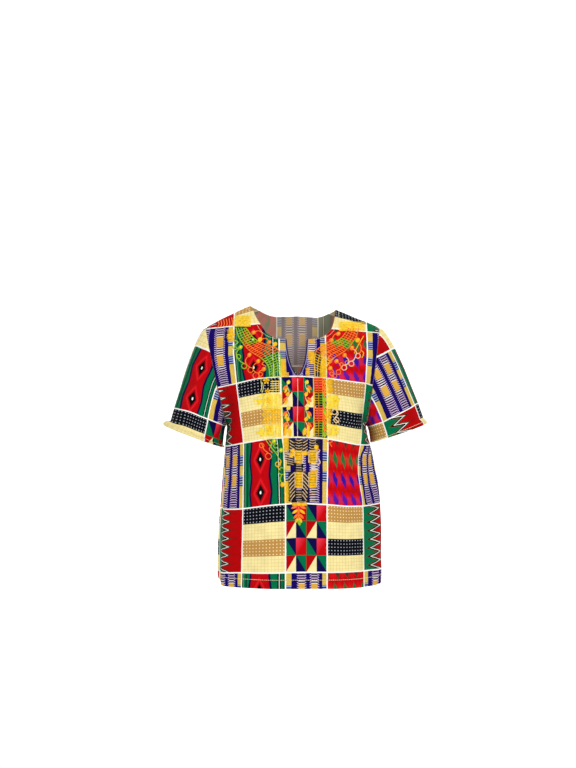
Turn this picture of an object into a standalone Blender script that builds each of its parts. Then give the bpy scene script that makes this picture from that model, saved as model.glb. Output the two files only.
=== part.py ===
"""A child's short-sleeved dashiki shirt, filled out as it is worn, with nobody in it.

A maker cuts a front with a neck slit, a back and two set-in sleeves from printed
cotton, sews them at the shoulders, armholes and sides, and turns the hems. Each of
those pieces is one thin wall of cloth here, a seam's gap from the next.

Metres, +Z up. The front faces -Y. The origin lies between the inner ends of the two
shoulder seams, where the wearer's shoulders carry the shirt. "left" is the side at -X.
"""

import math
from collections import namedtuple

import bmesh
import bpy
from mathutils import Vector

# Cloth
CLOTH = 0.0014
HEM_CLOTH = 0.0024
SIDE_GAP = 0.0004
SHOULDER_GAP = 0.0004
ARMHOLE_GAP = 0.0004
BODY_HEM = 0.014
SLEEVE_HEM = 0.013

# Armhole: an upright oval that leans outwards from the underarm to the shoulder tip
UNDERARM_Z = -0.200
SHOULDER_TIP_Z = -0.0365
ARMHOLE_MIDDLE_Y = 0.004
ARMHOLE_FRONT_REACH = 0.046
ARMHOLE_BACK_REACH = 0.044
SIDE_SEAM_Y = 0.002
UNDERARM_X = {"left": 0.1190, "right": 0.1150}
SHOULDER_TIP_X = {"left": 0.1545, "right": 0.1374}

# Mesh density
HALF_COLUMNS = 18
SLEEVE_ALONG = 11

SIGN = {"left": -1.0, "right": 1.0}

# Sections of the body from the front hem, up over the shoulder and down to the back
# hem. y and z are on the centre line; left, right, side_y and side_z are where the
# section ends, at the side seam or armhole; turn is the angle it swings through on the
# way, square how boxy it is (2 is an ellipse), ease how late its drop in z comes, slump
# how much lower the right shoulder lies, and angle where on the armhole it ends.
Section = namedtuple(
    "Section", "name y z left right side_y side_z turn square ease slump angle"
)


def armhole(side, angle):
    """The armhole's seam line: angle -90 is the underarm, 90 the shoulder tip and 0 the
    front; past 90 it runs down the back."""
    rise, reach = math.sin(math.radians(angle)), math.cos(math.radians(angle))
    share = (rise + 1) / 2
    x = UNDERARM_X[side] + (SHOULDER_TIP_X[side] - UNDERARM_X[side]) * share
    z = UNDERARM_Z + (SHOULDER_TIP_Z - UNDERARM_Z) * share
    depth = ARMHOLE_FRONT_REACH if reach > 0 else ARMHOLE_BACK_REACH
    bottom = (SIDE_SEAM_Y - ARMHOLE_MIDDLE_Y) * (1 - share)
    return Vector((SIGN[side] * x, ARMHOLE_MIDDLE_Y + bottom - depth * reach, z))


def upper(name, y, z, angle, turn, square, ease, slump=0.0):
    """A section that ends on the armhole."""
    left, right = armhole("left", angle), armhole("right", angle)
    return Section(
        name, y, z, -left.x, right.x, left.y, left.z, turn, square, ease, slump, angle
    )


def lower(name, y, z, left, right, side_z, ease=2.0, angle=None):
    """A section that ends on the side seam."""
    return Section(
        name, y, z, left, right, SIDE_SEAM_Y, side_z, 90, 2.7, ease, 0.0, angle
    )


SECTIONS = [
    lower("front_hem", -0.0900, -0.4640, 0.1342, 0.1390, -0.4440, ease=6.0),
    lower("front_hip", -0.0905, -0.4000, 0.1336, 0.1384, -0.3950),
    lower("front_waist", -0.0890, -0.3300, 0.1292, 0.1362, -0.3280),
    lower("front_ribs", -0.0875, -0.2600, 0.1240, 0.1280, -0.2600),
    lower("front_underarm", -0.0865, -0.2000, 0.1190, 0.1150, UNDERARM_Z, angle=-90),
    upper("breast", -0.0850, -0.1600, -50, 76, 2.6, 2.0),
    upper("slit_foot", -0.0780, -0.1150, -15, 62, 2.4, 2.0),
    upper("collarbone", -0.0640, -0.0760, 20, 50, 2.2, 2.0),
    upper("throat", -0.0450, -0.0360, 50, 38, 2.0, 1.7, slump=0.003),
    upper("front_yoke", -0.0200, 0.0060, 71, 26, 2.0, 1.5, slump=0.008),
    upper("shoulder", 0.0080, 0.0220, 90, 20, 2.0, 1.5, slump=0.009),
    upper("back_yoke", 0.0340, 0.0120, 109, 26, 2.0, 1.5, slump=0.008),
    upper("nape", 0.0560, -0.0150, 130, 38, 2.0, 1.7, slump=0.003),
    upper("upper_back", 0.0760, -0.0560, 157, 50, 2.2, 2.0),
    upper("shoulder_blade", 0.0880, -0.1060, 193, 62, 2.4, 2.0),
    upper("under_blade", 0.0905, -0.1560, 230, 76, 2.6, 2.0),
    lower("back_underarm", 0.0890, -0.2000, 0.1190, 0.1150, UNDERARM_Z, angle=270),
    lower("back_ribs", 0.0855, -0.2600, 0.1240, 0.1280, -0.2600),
    lower("back_waist", 0.0835, -0.3300, 0.1292, 0.1362, -0.3280),
    lower("back_hip", 0.0850, -0.4000, 0.1336, 0.1384, -0.3950),
    lower("back_hem", 0.0860, -0.4660, 0.1342, 0.1390, -0.4440, ease=6.0),
]
ORDER = {section.name: number for number, section in enumerate(SECTIONS)}

ARMHOLE_ANGLES = [s.angle for s in SECTIONS if s.angle is not None]

# The neck's cut edge, from the middle out to the shoulder seam. The front is given as
# it is seen from the front (left, right, z), the back as seen from above (left, right, y).
NeckPoint = namedtuple("NeckPoint", "left right level")
SLIT_EDGE = [
    NeckPoint(0.0052, 0.0052, -0.1055),
    NeckPoint(0.0108, 0.0104, -0.0930),
    NeckPoint(0.0150, 0.0140, -0.0760),
    NeckPoint(0.0172, 0.0155, -0.0570),
]
FRONT_NECK = [
    NeckPoint(0.0300, 0.0290, -0.0560),
    NeckPoint(0.0430, 0.0425, -0.0525),
    NeckPoint(0.0540, 0.0530, -0.0435),
    NeckPoint(0.0620, 0.0590, -0.0315),
    NeckPoint(0.0695, 0.0618, -0.0190),
    NeckPoint(0.0762, 0.0640, -0.0060),
]
NECK_AT_SHOULDER = NeckPoint(0.0805, 0.0655, 0.0080)
BACK_NECK = [
    NeckPoint(0.0000, 0.0000, 0.0560),
    NeckPoint(0.0230, 0.0190, 0.0550),
    NeckPoint(0.0440, 0.0370, 0.0510),
    NeckPoint(0.0620, 0.0515, 0.0400),
    NeckPoint(0.0745, 0.0610, 0.0240),
]

HEM_Z = -0.470

# Soft folds: a ridge (depth above 0) or trough from one place on the cloth to another.
# across is the distance round the body from the centre line, - to the left; z is height.
Fold = namedtuple("Fold", "across_from z_from across_to z_to width depth")
FRONT_FOLDS = [
    Fold(-0.150, -0.205, -0.104, -0.130, 0.012, -0.0034),
    Fold(-0.128, -0.222, -0.086, -0.165, 0.013, 0.0026),
    Fold(-0.152, -0.225, -0.160, -0.470, 0.014, -0.0040),
    Fold(-0.124, -0.260, -0.130, -0.470, 0.016, 0.0034),
    Fold(-0.090, -0.300, -0.086, -0.470, 0.020, -0.0022),
    Fold(-0.040, -0.330, -0.046, -0.470, 0.022, 0.0018),
    Fold(0.146, -0.205, 0.100, -0.140, 0.012, -0.0032),
    Fold(0.124, -0.222, 0.082, -0.175, 0.013, 0.0024),
    Fold(0.140, -0.225, 0.128, -0.330, 0.012, -0.0038),
    Fold(0.158, -0.260, 0.156, -0.470, 0.015, 0.0034),
    Fold(0.122, -0.330, 0.126, -0.470, 0.016, -0.0028),
    Fold(0.060, -0.310, 0.066, -0.470, 0.022, 0.0020),
    Fold(0.014, -0.350, 0.012, -0.470, 0.020, -0.0016),
    Fold(-0.118, -0.120, -0.070, -0.082, 0.014, -0.0016),
    Fold(0.108, -0.118, 0.066, -0.084, 0.014, -0.0016),
]
BACK_FOLDS = [
    Fold(-0.148, -0.200, -0.104, -0.120, 0.013, -0.0034),
    Fold(-0.126, -0.215, -0.086, -0.150, 0.014, 0.0026),
    Fold(-0.150, -0.230, -0.154, -0.470, 0.015, -0.0040),
    Fold(-0.118, -0.240, -0.122, -0.470, 0.018, 0.0040),
    Fold(-0.074, -0.210, -0.080, -0.470, 0.020, -0.0044),
    Fold(-0.026, -0.170, -0.032, -0.470, 0.020, 0.0034),
    Fold(0.016, -0.220, 0.014, -0.470, 0.018, -0.0034),
    Fold(0.058, -0.180, 0.062, -0.470, 0.020, 0.0038),
    Fold(0.100, -0.220, 0.106, -0.470, 0.018, -0.0042),
    Fold(0.144, -0.200, 0.100, -0.120, 0.013, -0.0034),
    Fold(0.124, -0.215, 0.084, -0.150, 0.014, 0.0026),
    Fold(0.142, -0.240, 0.150, -0.470, 0.015, 0.0036),
]
# On a sleeve, across is the distance round the armhole from its front, + upwards, and
# z is the distance below the armhole.
SLEEVE_FOLDS = {
    "left": [
        Fold(-0.019, 0.000, 0.010, -0.120, 0.016, -0.0034),
        Fold(-0.046, -0.003, -0.029, -0.136, 0.016, 0.0028),
        Fold(0.008, -0.003, 0.033, -0.128, 0.019, 0.0024),
        Fold(0.188, 0.000, 0.169, -0.128, 0.017, -0.0034),
        Fold(0.213, -0.008, 0.198, -0.144, 0.017, 0.0028),
        Fold(0.144, -0.016, 0.134, -0.144, 0.019, -0.0020),
    ],
    "right": [
        Fold(-0.013, 0.000, -0.025, -0.136, 0.016, -0.0034),
        Fold(0.010, -0.003, 0.004, -0.136, 0.016, 0.0026),
        Fold(0.033, -0.008, 0.038, -0.144, 0.019, -0.0018),
        Fold(0.186, 0.000, 0.173, -0.128, 0.017, -0.0034),
        Fold(0.211, -0.008, 0.200, -0.144, 0.017, 0.0028),
        Fold(0.146, -0.016, 0.138, -0.144, 0.019, -0.0020),
    ],
}

# Each sleeve's cuff is an oval ring: its outer and inner ends as seen from the front,
# half its depth, the slope in degrees at which the sleeve leaves the shoulder, and how
# far the stiff hem kicks out.
Sleeve = namedtuple("Sleeve", "outer_x outer_z inner_x inner_z half_depth slope kick")
SLEEVES = {
    "left": Sleeve(0.2160, -0.2035, 0.1262, -0.2366, 0.0470, 26, 0.0060),
    "right": Sleeve(0.2140, -0.1980, 0.1226, -0.2290, 0.0470, 12, 0.0030),
}
CUFF_MIDDLE_Y = -0.002
SLEEVE_RADIUS = 0.055
SLEEVE_LENGTH = 0.160

# How strongly the cloth keeps its direction where it leaves the armhole, at the top, at
# the front and back and at the underarm, and where it reaches the cuff's top and bottom
TOP_PULL = 0.072
MIDDLE_PULL = (0.0275, 0.0055, 0.0473)
UNDERARM_PULL = (0.0160, 0.0120)
CUFF_TOP_PULL = 0.045
CUFF_BOTTOM_PULL = 0.020


def empty_scene():
    for obj in list(bpy.data.objects):
        bpy.data.objects.remove(obj, do_unlink=True)


def fabric(name, colour, roughness):
    material = bpy.data.materials.new(name)
    material.use_nodes = True
    shader = material.node_tree.nodes["Principled BSDF"]
    shader.inputs["Base Color"].default_value = (*colour, 1.0)
    shader.inputs["Roughness"].default_value = roughness
    shader.inputs["Metallic"].default_value = 0.0
    return material


# The cloth's surface --------------------------------------------------------------


def oval(angle, square):
    """(out, forward) of a point on an oval with unit half-axes."""
    s, c = math.sin(angle), math.cos(angle)
    size = (abs(s) ** square + abs(c) ** square) ** (1 / square)
    return s / size, c / size


def across(section, side, share):
    """A point of a section: share 0 is on the centre line and 1 at its side end."""
    turn = math.radians(section.turn)
    out, forward = oval(turn * share, section.square)
    full_out, full_forward = oval(turn, section.square)
    fall = (1 - forward) / (1 - full_forward)
    return Vector(
        (
            SIGN[side] * getattr(section, side) * out / full_out,
            section.y + (section.side_y - section.y) * fall,
            section.z
            + (section.side_z - section.z) * abs(share) ** section.ease
            - (section.slump * math.sin(math.pi * share) if side == "right" else 0.0),
        )
    )


def section_places():
    """How far along the cloth each section lies, averaged over its centre and side."""
    places = [0.0]
    for low, high in zip(SECTIONS, SECTIONS[1:]):
        step = sum(
            (across(high, "left", s) - across(low, "left", s)).length for s in (0, 1)
        )
        places.append(places[-1] + step / 2)
    return places


PLACES = section_places()


def armhole_angle(row):
    """Where on the armhole a row ends."""
    place = row - ORDER["front_underarm"]
    first = min(int(place), len(ARMHOLE_ANGLES) - 2)
    low, high = ARMHOLE_ANGLES[first : first + 2]
    return low + (high - low) * (place - first)


def eased(before, after):
    """The slope of a smooth curve between two slopes, level where they turn over."""
    return 2 * before * after / (before + after) if before * after > 0 else 0.0


def hermite(start, leaving, end, arriving, t):
    """A point on the cubic with these ends and end slopes."""
    return (
        start * (2 * t**3 - 3 * t**2 + 1)
        + leaving * (t**3 - 2 * t**2 + t)
        + end * (3 * t**2 - 2 * t**3)
        + arriving * (t**3 - t**2)
    )


def along_rows(values, first, t):
    """A smooth curve through one value a section, between section first and the next."""
    slopes = []
    for n in (first, first + 1):
        before, after = (
            (values[m + 1] - values[m]) / (PLACES[m + 1] - PLACES[m])
            for m in (max(n - 1, 0), min(n, len(PLACES) - 2))
        )
        slopes.append(eased(before, after))
    gap = PLACES[first + 1] - PLACES[first]
    return hermite(
        values[first], slopes[0] * gap, values[first + 1], slopes[1] * gap, t
    )


def body_point(side, share, row):
    """The body's surface, with no folds: row counts sections, such as 2.5."""
    row = min(max(row, 0.0), len(SECTIONS) - 1.0)
    first = min(int(row), len(SECTIONS) - 2)
    nearby = range(max(first - 1, 0), min(first + 3, len(SECTIONS)))

    def through_sections(at_share):
        points = {n: across(SECTIONS[n], side, at_share) for n in nearby}
        return Vector(
            along_rows({n: p[axis] for n, p in points.items()}, first, row - first)
            for axis in range(3)
        )

    here = through_sections(share)
    if share > 0.5 and ORDER["front_underarm"] < row < ORDER["back_underarm"]:
        miss = armhole(side, armhole_angle(row)) - through_sections(1.0)
        here += miss * (2 * share - 1) ** 3
    return here


def find_on_body(side, neck_point, level_axis, row):
    """(share, row) of a neck point, by Newton's method on x and y or on x and z."""
    wanted = (SIGN[side] * getattr(neck_point, side), neck_point.level)
    share, step = 0.4, 1e-4
    for _ in range(20):
        here = body_point(side, share, row)
        by_share = (body_point(side, share + step, row) - here) / step
        by_row = (body_point(side, share, row + step) - here) / step
        miss_x, miss_level = wanted[0] - here.x, wanted[1] - here[level_axis]
        size = by_share.x * by_row[level_axis] - by_row.x * by_share[level_axis]
        share += (miss_x * by_row[level_axis] - miss_level * by_row.x) / size
        row += (miss_level * by_share.x - miss_x * by_share[level_axis]) / size
    return max(share, 0.0), row


def fold_depth(folds, at_across, at_z):
    """How far the folds lift the cloth at a place."""
    lift = 0.0
    for fold in folds:
        start = Vector((fold.across_from, fold.z_from))
        run = Vector((fold.across_to, fold.z_to)) - start
        here = Vector((at_across, at_z)) - start
        along = here.dot(run) / run.length_squared
        nearest = min(max(along, 0.0), 1.0)
        off = (here - run * nearest).length / fold.width
        fade = min(1.0, 4 * nearest) if fold.z_to <= HEM_Z else math.sin(math.pi * nearest)
        lift += fold.depth * math.exp(-(off**2)) * fade
    return lift


def folded_body_point(side, share, row):
    """The body's surface with its folds, which die out at the seams at its sides."""
    here = body_point(side, share, row)
    step = -1e-3 if row > ORDER["shoulder"] else 1e-3
    by_share = body_point(side, share + 1e-3, row) - here
    by_row = body_point(side, share, row + step) - here
    inward = (by_row.cross(by_share) * SIGN[side] * step).normalized()
    girth_points = [body_point(side, share * n / 8, row) for n in range(9)]
    girth = sum((b - a).length for a, b in zip(girth_points, girth_points[1:]))
    folds = FRONT_FOLDS if row <= ORDER["shoulder"] else BACK_FOLDS
    fade = math.sin(math.pi * min(1.0, (1 - share) * 4) / 2)
    return here - inward * fold_depth(folds, SIGN[side] * girth, here.z) * fade


# The pieces -----------------------------------------------------------------------


def hem_rows(hem, step):
    """Row places at the hem's fold, the middle of its turning and just past its edge."""
    a_row = abs(PLACES[hem + step] - PLACES[hem])
    return [hem + step * part * BODY_HEM / a_row for part in (0, 0.5, 1, 1.12)]


def panel_rows(side, is_front):
    """Pairs of (share, row) for the inner and outer end of each row of one half, hem
    first, and how many of the rows meet the other half at the centre."""
    step = 1 if is_front else -1
    hem = ORDER["front_hem" if is_front else "back_hem"]
    underarm = ORDER["front_underarm" if is_front else "back_underarm"]
    centre_top = ORDER["slit_foot" if is_front else "under_blade"]
    seam = hem_rows(hem, step)
    seam += [hem + step * (0.42 + 0.29 * n) for n in range(13)]
    seam = [row for row in seam if (underarm - row) * step > 0.1]
    seam += [underarm + (centre_top - underarm) * n / 5 for n in range(6)]
    if is_front:
        neck = [find_on_body(side, p, 2, 7.0) for p in SLIT_EDGE]
        neck += [find_on_body(side, p, 2, 8.0) for p in FRONT_NECK]
        joined = len(seam)
    else:
        middle_row = find_on_body(side, BACK_NECK[0], 1, 12.0)[1]
        neck = [(0.0, centre_top + (middle_row - centre_top) * n / 5) for n in range(1, 5)]
        neck += [find_on_body(side, p, 1, 12.0) for p in BACK_NECK]
        joined = len(seam) + 5
    shoulder = ORDER["shoulder"]
    neck.append((find_on_body(side, NECK_AT_SHOULDER, 1, shoulder - 0.1 * step)[0], shoulder))
    inner = [(0.0, row) for row in seam] + neck
    outer = [(1.0, row) for row in seam]
    outer += [
        (1.0, centre_top + (shoulder - centre_top) * (n + 1) / len(neck))
        for n in range(len(neck))
    ]
    rows = list(zip(inner, outer))
    rows.insert(-1, tuple(between(low, high, 0.8) for low, high in zip(rows[-2], rows[-1])))
    return rows, joined


def between(low, high, t):
    return tuple(a + (b - a) * t for a, b in zip(low, high))


def half_panel(rows, side, columns):
    """Points of one half, row by row, from its inner edge to its side. A narrow last
    column and row keep the wall's rims square to the cloth at the seams."""
    grid = []
    for (inner_share, inner_row), (outer_share, outer_row) in rows:
        line = []
        for t in [n / columns for n in range(columns)] + [1 - 0.2 / columns, 1.0]:
            share = inner_share + (outer_share - inner_share) * t
            row = inner_row + (outer_row - inner_row) * t
            line.append(folded_body_point(side, share, row))
        grid.append(line)
    return grid


def draw_in(grid, side_gap, top_gap):
    """Moves a grid's last column and last row back from their seams by half the gaps."""
    for line in grid:
        line[-1] = line[-1] + (line[-2] - line[-1]).normalized() * side_gap / 2
    grid[-1] = [
        here + (below - here).normalized() * top_gap / 2
        for here, below in zip(grid[-1], grid[-2])
    ]


def cloth_object(name, grids, material, joined_rows=0, closed=False):
    """One object from point grids: an open surface that Solidify makes a wall of. The
    first joined_rows rows of two grids share their first column, and the first three
    rows of each are its turned hem."""
    mesh = bpy.data.meshes.new(name)
    bm = bmesh.new()
    hem_corners = []
    rows_of = []
    for number, grid in enumerate(grids):
        rows = []
        for r, line in enumerate(grid):
            row = [
                rows_of[0][r][0]
                if number and n == 0 and r < joined_rows
                else bm.verts.new(point)
                for n, point in enumerate(line)
            ]
            rows.append(row)
            if r < 3:
                hem_corners += row
        rows_of.append(rows)
        for low, high in zip(rows, rows[1:]):
            count = len(low) if closed else len(low) - 1
            for n in range(count):
                m = (n + 1) % len(low)
                bm.faces.new((low[n], low[m], high[m], high[n]))
    bmesh.ops.recalc_face_normals(bm, faces=bm.faces)
    bm.verts.index_update()
    hem_numbers = [v.index for v in hem_corners]
    middle = sum((v.co for v in bm.verts), Vector()) / len(bm.verts)
    outwards = sum(f.normal.dot(f.calc_center_median() - middle) for f in bm.faces)
    if outwards < 0:
        bmesh.ops.reverse_faces(bm, faces=bm.faces)
    bm.to_mesh(mesh)
    bm.free()
    mesh.materials.append(material)
    mesh.shade_smooth()
    obj = bpy.data.objects.new(name, mesh)
    thick = obj.vertex_groups.new(name="turned_hem")
    thick.add(hem_numbers, 1.0, "REPLACE")
    wall = obj.modifiers.new("cloth", "SOLIDIFY")
    wall.thickness = HEM_CLOTH
    wall.offset = -1.0
    wall.vertex_group = thick.name
    wall.thickness_vertex_group = CLOTH / HEM_CLOTH
    return obj


def body_panel(name, is_front, material):
    grids = []
    for side in ("left", "right"):
        rows, joined = panel_rows(side, is_front)
        grid = half_panel(rows, side, HALF_COLUMNS)
        draw_in(grid, SIDE_GAP, SHOULDER_GAP)
        grids.append(grid)
    for r in range(joined):
        grids[0][r][0] = (grids[0][r][0] + grids[1][r][0]) / 2
    return cloth_object(name, grids, material, joined_rows=joined)


def armhole_ring():
    """The angles at which the rows of the front and the back reach the armhole."""
    angles = []
    for is_front in (True, False):
        ends = [outer[1] for inner, outer in panel_rows("left", is_front)[0]]
        angles += [armhole_angle(row) for row in ends if 4 <= row <= 16]
    return sorted(set(round(a, 6) for a in angles))[:-1]


def sleeve_point(side, angle, share):
    """The sleeve's surface: angle goes round the armhole, share runs to the cuff."""
    sleeve, sign = SLEEVES[side], SIGN[side]
    outer = Vector((sign * sleeve.outer_x, CUFF_MIDDLE_Y, sleeve.outer_z))
    inner = Vector((sign * sleeve.inner_x, CUFF_MIDDLE_Y, sleeve.inner_z))
    up_cuff = (outer - inner) / 2
    down = Vector((sign * up_cuff.z, 0, -abs(up_cuff.x))).normalized()
    rise, reach = math.sin(math.radians(angle)), math.cos(math.radians(angle))
    start = armhole(side, angle)
    end = (outer + inner) / 2 + up_cuff * rise
    end.y -= sleeve.half_depth * reach

    slope = math.radians(sleeve.slope)
    top = Vector((sign * math.cos(slope), 0, -math.sin(slope))) * TOP_PULL
    middle = Vector((sign * MIDDLE_PULL[0], -MIDDLE_PULL[1] * reach, -MIDDLE_PULL[2]))
    bottom = Vector((sign * UNDERARM_PULL[0], 0, -UNDERARM_PULL[1]))
    leaving = middle * reach**2 + (top if rise > 0 else bottom) * rise**2
    arriving = down * (
        CUFF_BOTTOM_PULL + (CUFF_TOP_PULL - CUFF_BOTTOM_PULL) * (rise + 1) / 2
    )
    point = hermite(start, leaving, end, arriving, share)
    hems_left = (1 - share) * (end - start).length / SLEEVE_HEM
    kick = min(max(0.0, 1.8 - hems_left) / 0.8, 1.0) ** 1.5 * sleeve.kick
    return point + up_cuff.normalized() * kick * max(0.0, rise) ** 2


def folded_sleeve_point(side, angle, share):
    here = sleeve_point(side, angle, share)
    step = -1e-3 if share > 0.5 else 1e-3
    by_angle = sleeve_point(side, angle + 0.1, share) - here
    by_share = sleeve_point(side, angle, share + step) - here
    outward = (by_share.cross(by_angle) * SIGN[side] * step).normalized()
    round_armhole = math.radians(angle) * SLEEVE_RADIUS
    girth = 2 * math.pi * SLEEVE_RADIUS
    lift = sum(
        fold_depth(SLEEVE_FOLDS[side], round_armhole + turn * girth, -share * SLEEVE_LENGTH)
        for turn in (-1, 0, 1)
    )
    return here + outward * lift


def sleeve_piece(name, side, material):
    hem = SLEEVE_HEM / (sleeve_point(side, 0, 1) - sleeve_point(side, 0, 0)).length
    plain = [n / SLEEVE_ALONG for n in range(SLEEVE_ALONG) if n / SLEEVE_ALONG < 1 - 1.3 * hem]
    grid = []
    for share in [1, 1 - hem / 2, 1 - hem, 1 - 1.1 * hem] + plain[::-1]:
        line = []
        for angle in armhole_ring():
            point = folded_sleeve_point(side, angle, share)
            if share == 0:
                onwards = folded_sleeve_point(side, angle, 0.05) - point
                point = point + onwards.normalized() * ARMHOLE_GAP / 2
            line.append(point)
        grid.append(line)
    return cloth_object(name, [grid], material, closed=True)


def main():
    empty_scene()
    shirt = bpy.data.collections.new("dashiki_shirt")
    bpy.context.scene.collection.children.link(shirt)
    printed = fabric("printed_cotton", (0.62, 0.36, 0.13), 0.8)
    for piece in (
        body_panel("front", True, printed),
        body_panel("back", False, printed),
        sleeve_piece("sleeve_left", "left", printed),
        sleeve_piece("sleeve_right", "right", printed),
    ):
        shirt.objects.link(piece)


main()
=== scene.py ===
"""A child's dashiki shirt in patchwork-print cotton with machine embroidery, filled out
as it is worn. Metres, in the model's own frame: the front faces -Y and "left" is -X."""

import math
from collections import namedtuple

import bpy
import numpy as np
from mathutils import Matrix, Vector
from mathutils.bvhtree import BVHTree


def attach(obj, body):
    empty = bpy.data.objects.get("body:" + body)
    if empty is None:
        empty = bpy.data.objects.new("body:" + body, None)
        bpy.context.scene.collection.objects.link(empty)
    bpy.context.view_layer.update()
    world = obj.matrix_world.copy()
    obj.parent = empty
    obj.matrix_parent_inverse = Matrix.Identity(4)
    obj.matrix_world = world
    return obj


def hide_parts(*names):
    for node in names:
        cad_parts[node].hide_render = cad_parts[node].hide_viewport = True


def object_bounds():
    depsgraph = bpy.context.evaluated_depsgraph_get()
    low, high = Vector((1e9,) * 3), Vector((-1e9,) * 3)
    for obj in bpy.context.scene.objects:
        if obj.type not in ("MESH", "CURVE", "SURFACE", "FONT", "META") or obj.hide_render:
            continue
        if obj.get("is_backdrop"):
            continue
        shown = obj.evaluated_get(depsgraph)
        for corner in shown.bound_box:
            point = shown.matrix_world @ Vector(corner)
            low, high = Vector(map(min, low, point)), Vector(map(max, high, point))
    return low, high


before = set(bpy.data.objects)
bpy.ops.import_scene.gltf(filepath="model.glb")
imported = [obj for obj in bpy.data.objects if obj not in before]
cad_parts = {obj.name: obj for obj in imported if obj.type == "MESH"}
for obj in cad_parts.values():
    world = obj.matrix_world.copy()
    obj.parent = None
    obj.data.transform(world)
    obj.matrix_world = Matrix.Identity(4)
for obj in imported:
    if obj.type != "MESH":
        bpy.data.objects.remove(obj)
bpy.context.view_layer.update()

# The body: a front and a back panel cut from printed cotton ------------------------
# Each is one thin piece of cloth that runs from the hem up to the shoulder seam. It
# hangs from the shoulders in soft folds, and is sewn at the shoulders and sides.

# How thick the cloth and its turned hem are, the gap at a seam, and the hem's depth
CLOTH = 0.0009
HEM_CLOTH = 0.0020
SEAM_GAP = 0.0004
BODY_HEM = 0.014

UNDERARM_Z, SHOULDER_TIP_Z = -0.200, -0.0365
ARMHOLE_MIDDLE_Y, ARMHOLE_FRONT_REACH, ARMHOLE_BACK_REACH = 0.004, 0.046, 0.044
SIDE_SEAM_Y = 0.002
UNDERARM_X = {"left": 0.1190, "right": 0.1150}
SHOULDER_TIP_X = {"left": 0.1545, "right": 0.1374}
SIGN = {"left": -1.0, "right": 1.0}

# Sections below the armholes: y and z on the centre line, the half width to each side,
# the height at the side seam, and how late the section drops on its way there
Level = namedtuple("Level", "y z left right side_z ease")
LOWER = {
    "front_hem": Level(-0.0900, -0.4640, 0.1342, 0.1390, -0.4440, 6.0),
    "front_hip": Level(-0.0905, -0.4000, 0.1336, 0.1384, -0.3950, 2.0),
    "front_waist": Level(-0.0890, -0.3300, 0.1292, 0.1362, -0.3280, 2.0),
    "front_ribs": Level(-0.0875, -0.2600, 0.1240, 0.1280, -0.2600, 2.0),
    "front_underarm": Level(-0.0865, -0.2000, 0.1190, 0.1150, -0.2000, 2.0),
    "back_underarm": Level(0.0890, -0.2000, 0.1190, 0.1150, -0.2000, 2.0),
    "back_ribs": Level(0.0855, -0.2600, 0.1240, 0.1280, -0.2600, 2.0),
    "back_waist": Level(0.0835, -0.3300, 0.1292, 0.1362, -0.3280, 2.0),
    "back_hip": Level(0.0850, -0.4000, 0.1336, 0.1384, -0.3950, 2.0),
    "back_hem": Level(0.0860, -0.4660, 0.1342, 0.1390, -0.4440, 6.0),
}
LOWER_TURN, LOWER_SQUARE = 90, 2.7
# Sections that end at the armhole: its angle there, the angle that the section swings
# through, its squareness, how late it drops, and how far the right shoulder slumps
Arch = namedtuple("Arch", "y z angle turn square ease slump")
UPPER = {
    "breast": Arch(-0.0850, -0.1600, -50, 76, 2.6, 2.0, 0.0),
    "slit_foot": Arch(-0.0780, -0.1150, -15, 62, 2.4, 2.0, 0.0),
    "collarbone": Arch(-0.0640, -0.0760, 20, 50, 2.2, 2.0, 0.0),
    "throat": Arch(-0.0450, -0.0360, 50, 38, 2.0, 1.7, 0.003),
    "front_yoke": Arch(-0.0200, 0.0060, 71, 26, 2.0, 1.5, 0.008),
    "shoulder": Arch(0.0080, 0.0220, 90, 20, 2.0, 1.5, 0.009),
    "back_yoke": Arch(0.0340, 0.0120, 109, 26, 2.0, 1.5, 0.008),
    "nape": Arch(0.0560, -0.0150, 130, 38, 2.0, 1.7, 0.003),
    "upper_back": Arch(0.0760, -0.0560, 157, 50, 2.2, 2.0, 0.0),
    "shoulder_blade": Arch(0.0880, -0.1060, 193, 62, 2.4, 2.0, 0.0),
    "under_blade": Arch(0.0905, -0.1560, 230, 76, 2.6, 2.0, 0.0),
}
ORDER = [*list(LOWER)[:5], *UPPER, *list(LOWER)[5:]]
AT = {name: place for place, name in enumerate(ORDER)}
ARMHOLE_ANGLES = np.array([-90, *(arch.angle for arch in UPPER.values()), 270.0])


def armhole(side, angle):
    """Points of the armhole's seam: angle -90 is the underarm and 90 the shoulder."""
    rise, reach = np.sin(np.radians(angle)), np.cos(np.radians(angle))
    share = (rise + 1) / 2
    x = UNDERARM_X[side] + (SHOULDER_TIP_X[side] - UNDERARM_X[side]) * share
    depth = np.where(reach > 0, ARMHOLE_FRONT_REACH, ARMHOLE_BACK_REACH)
    bottom = (SIDE_SEAM_Y - ARMHOLE_MIDDLE_Y) * (1 - share)
    y = ARMHOLE_MIDDLE_Y + bottom - depth * reach
    z = UNDERARM_Z + (SHOULDER_TIP_Z - UNDERARM_Z) * share
    return np.stack([SIGN[side] * x + 0 * y, y, z + 0 * y], axis=-1)


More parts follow.
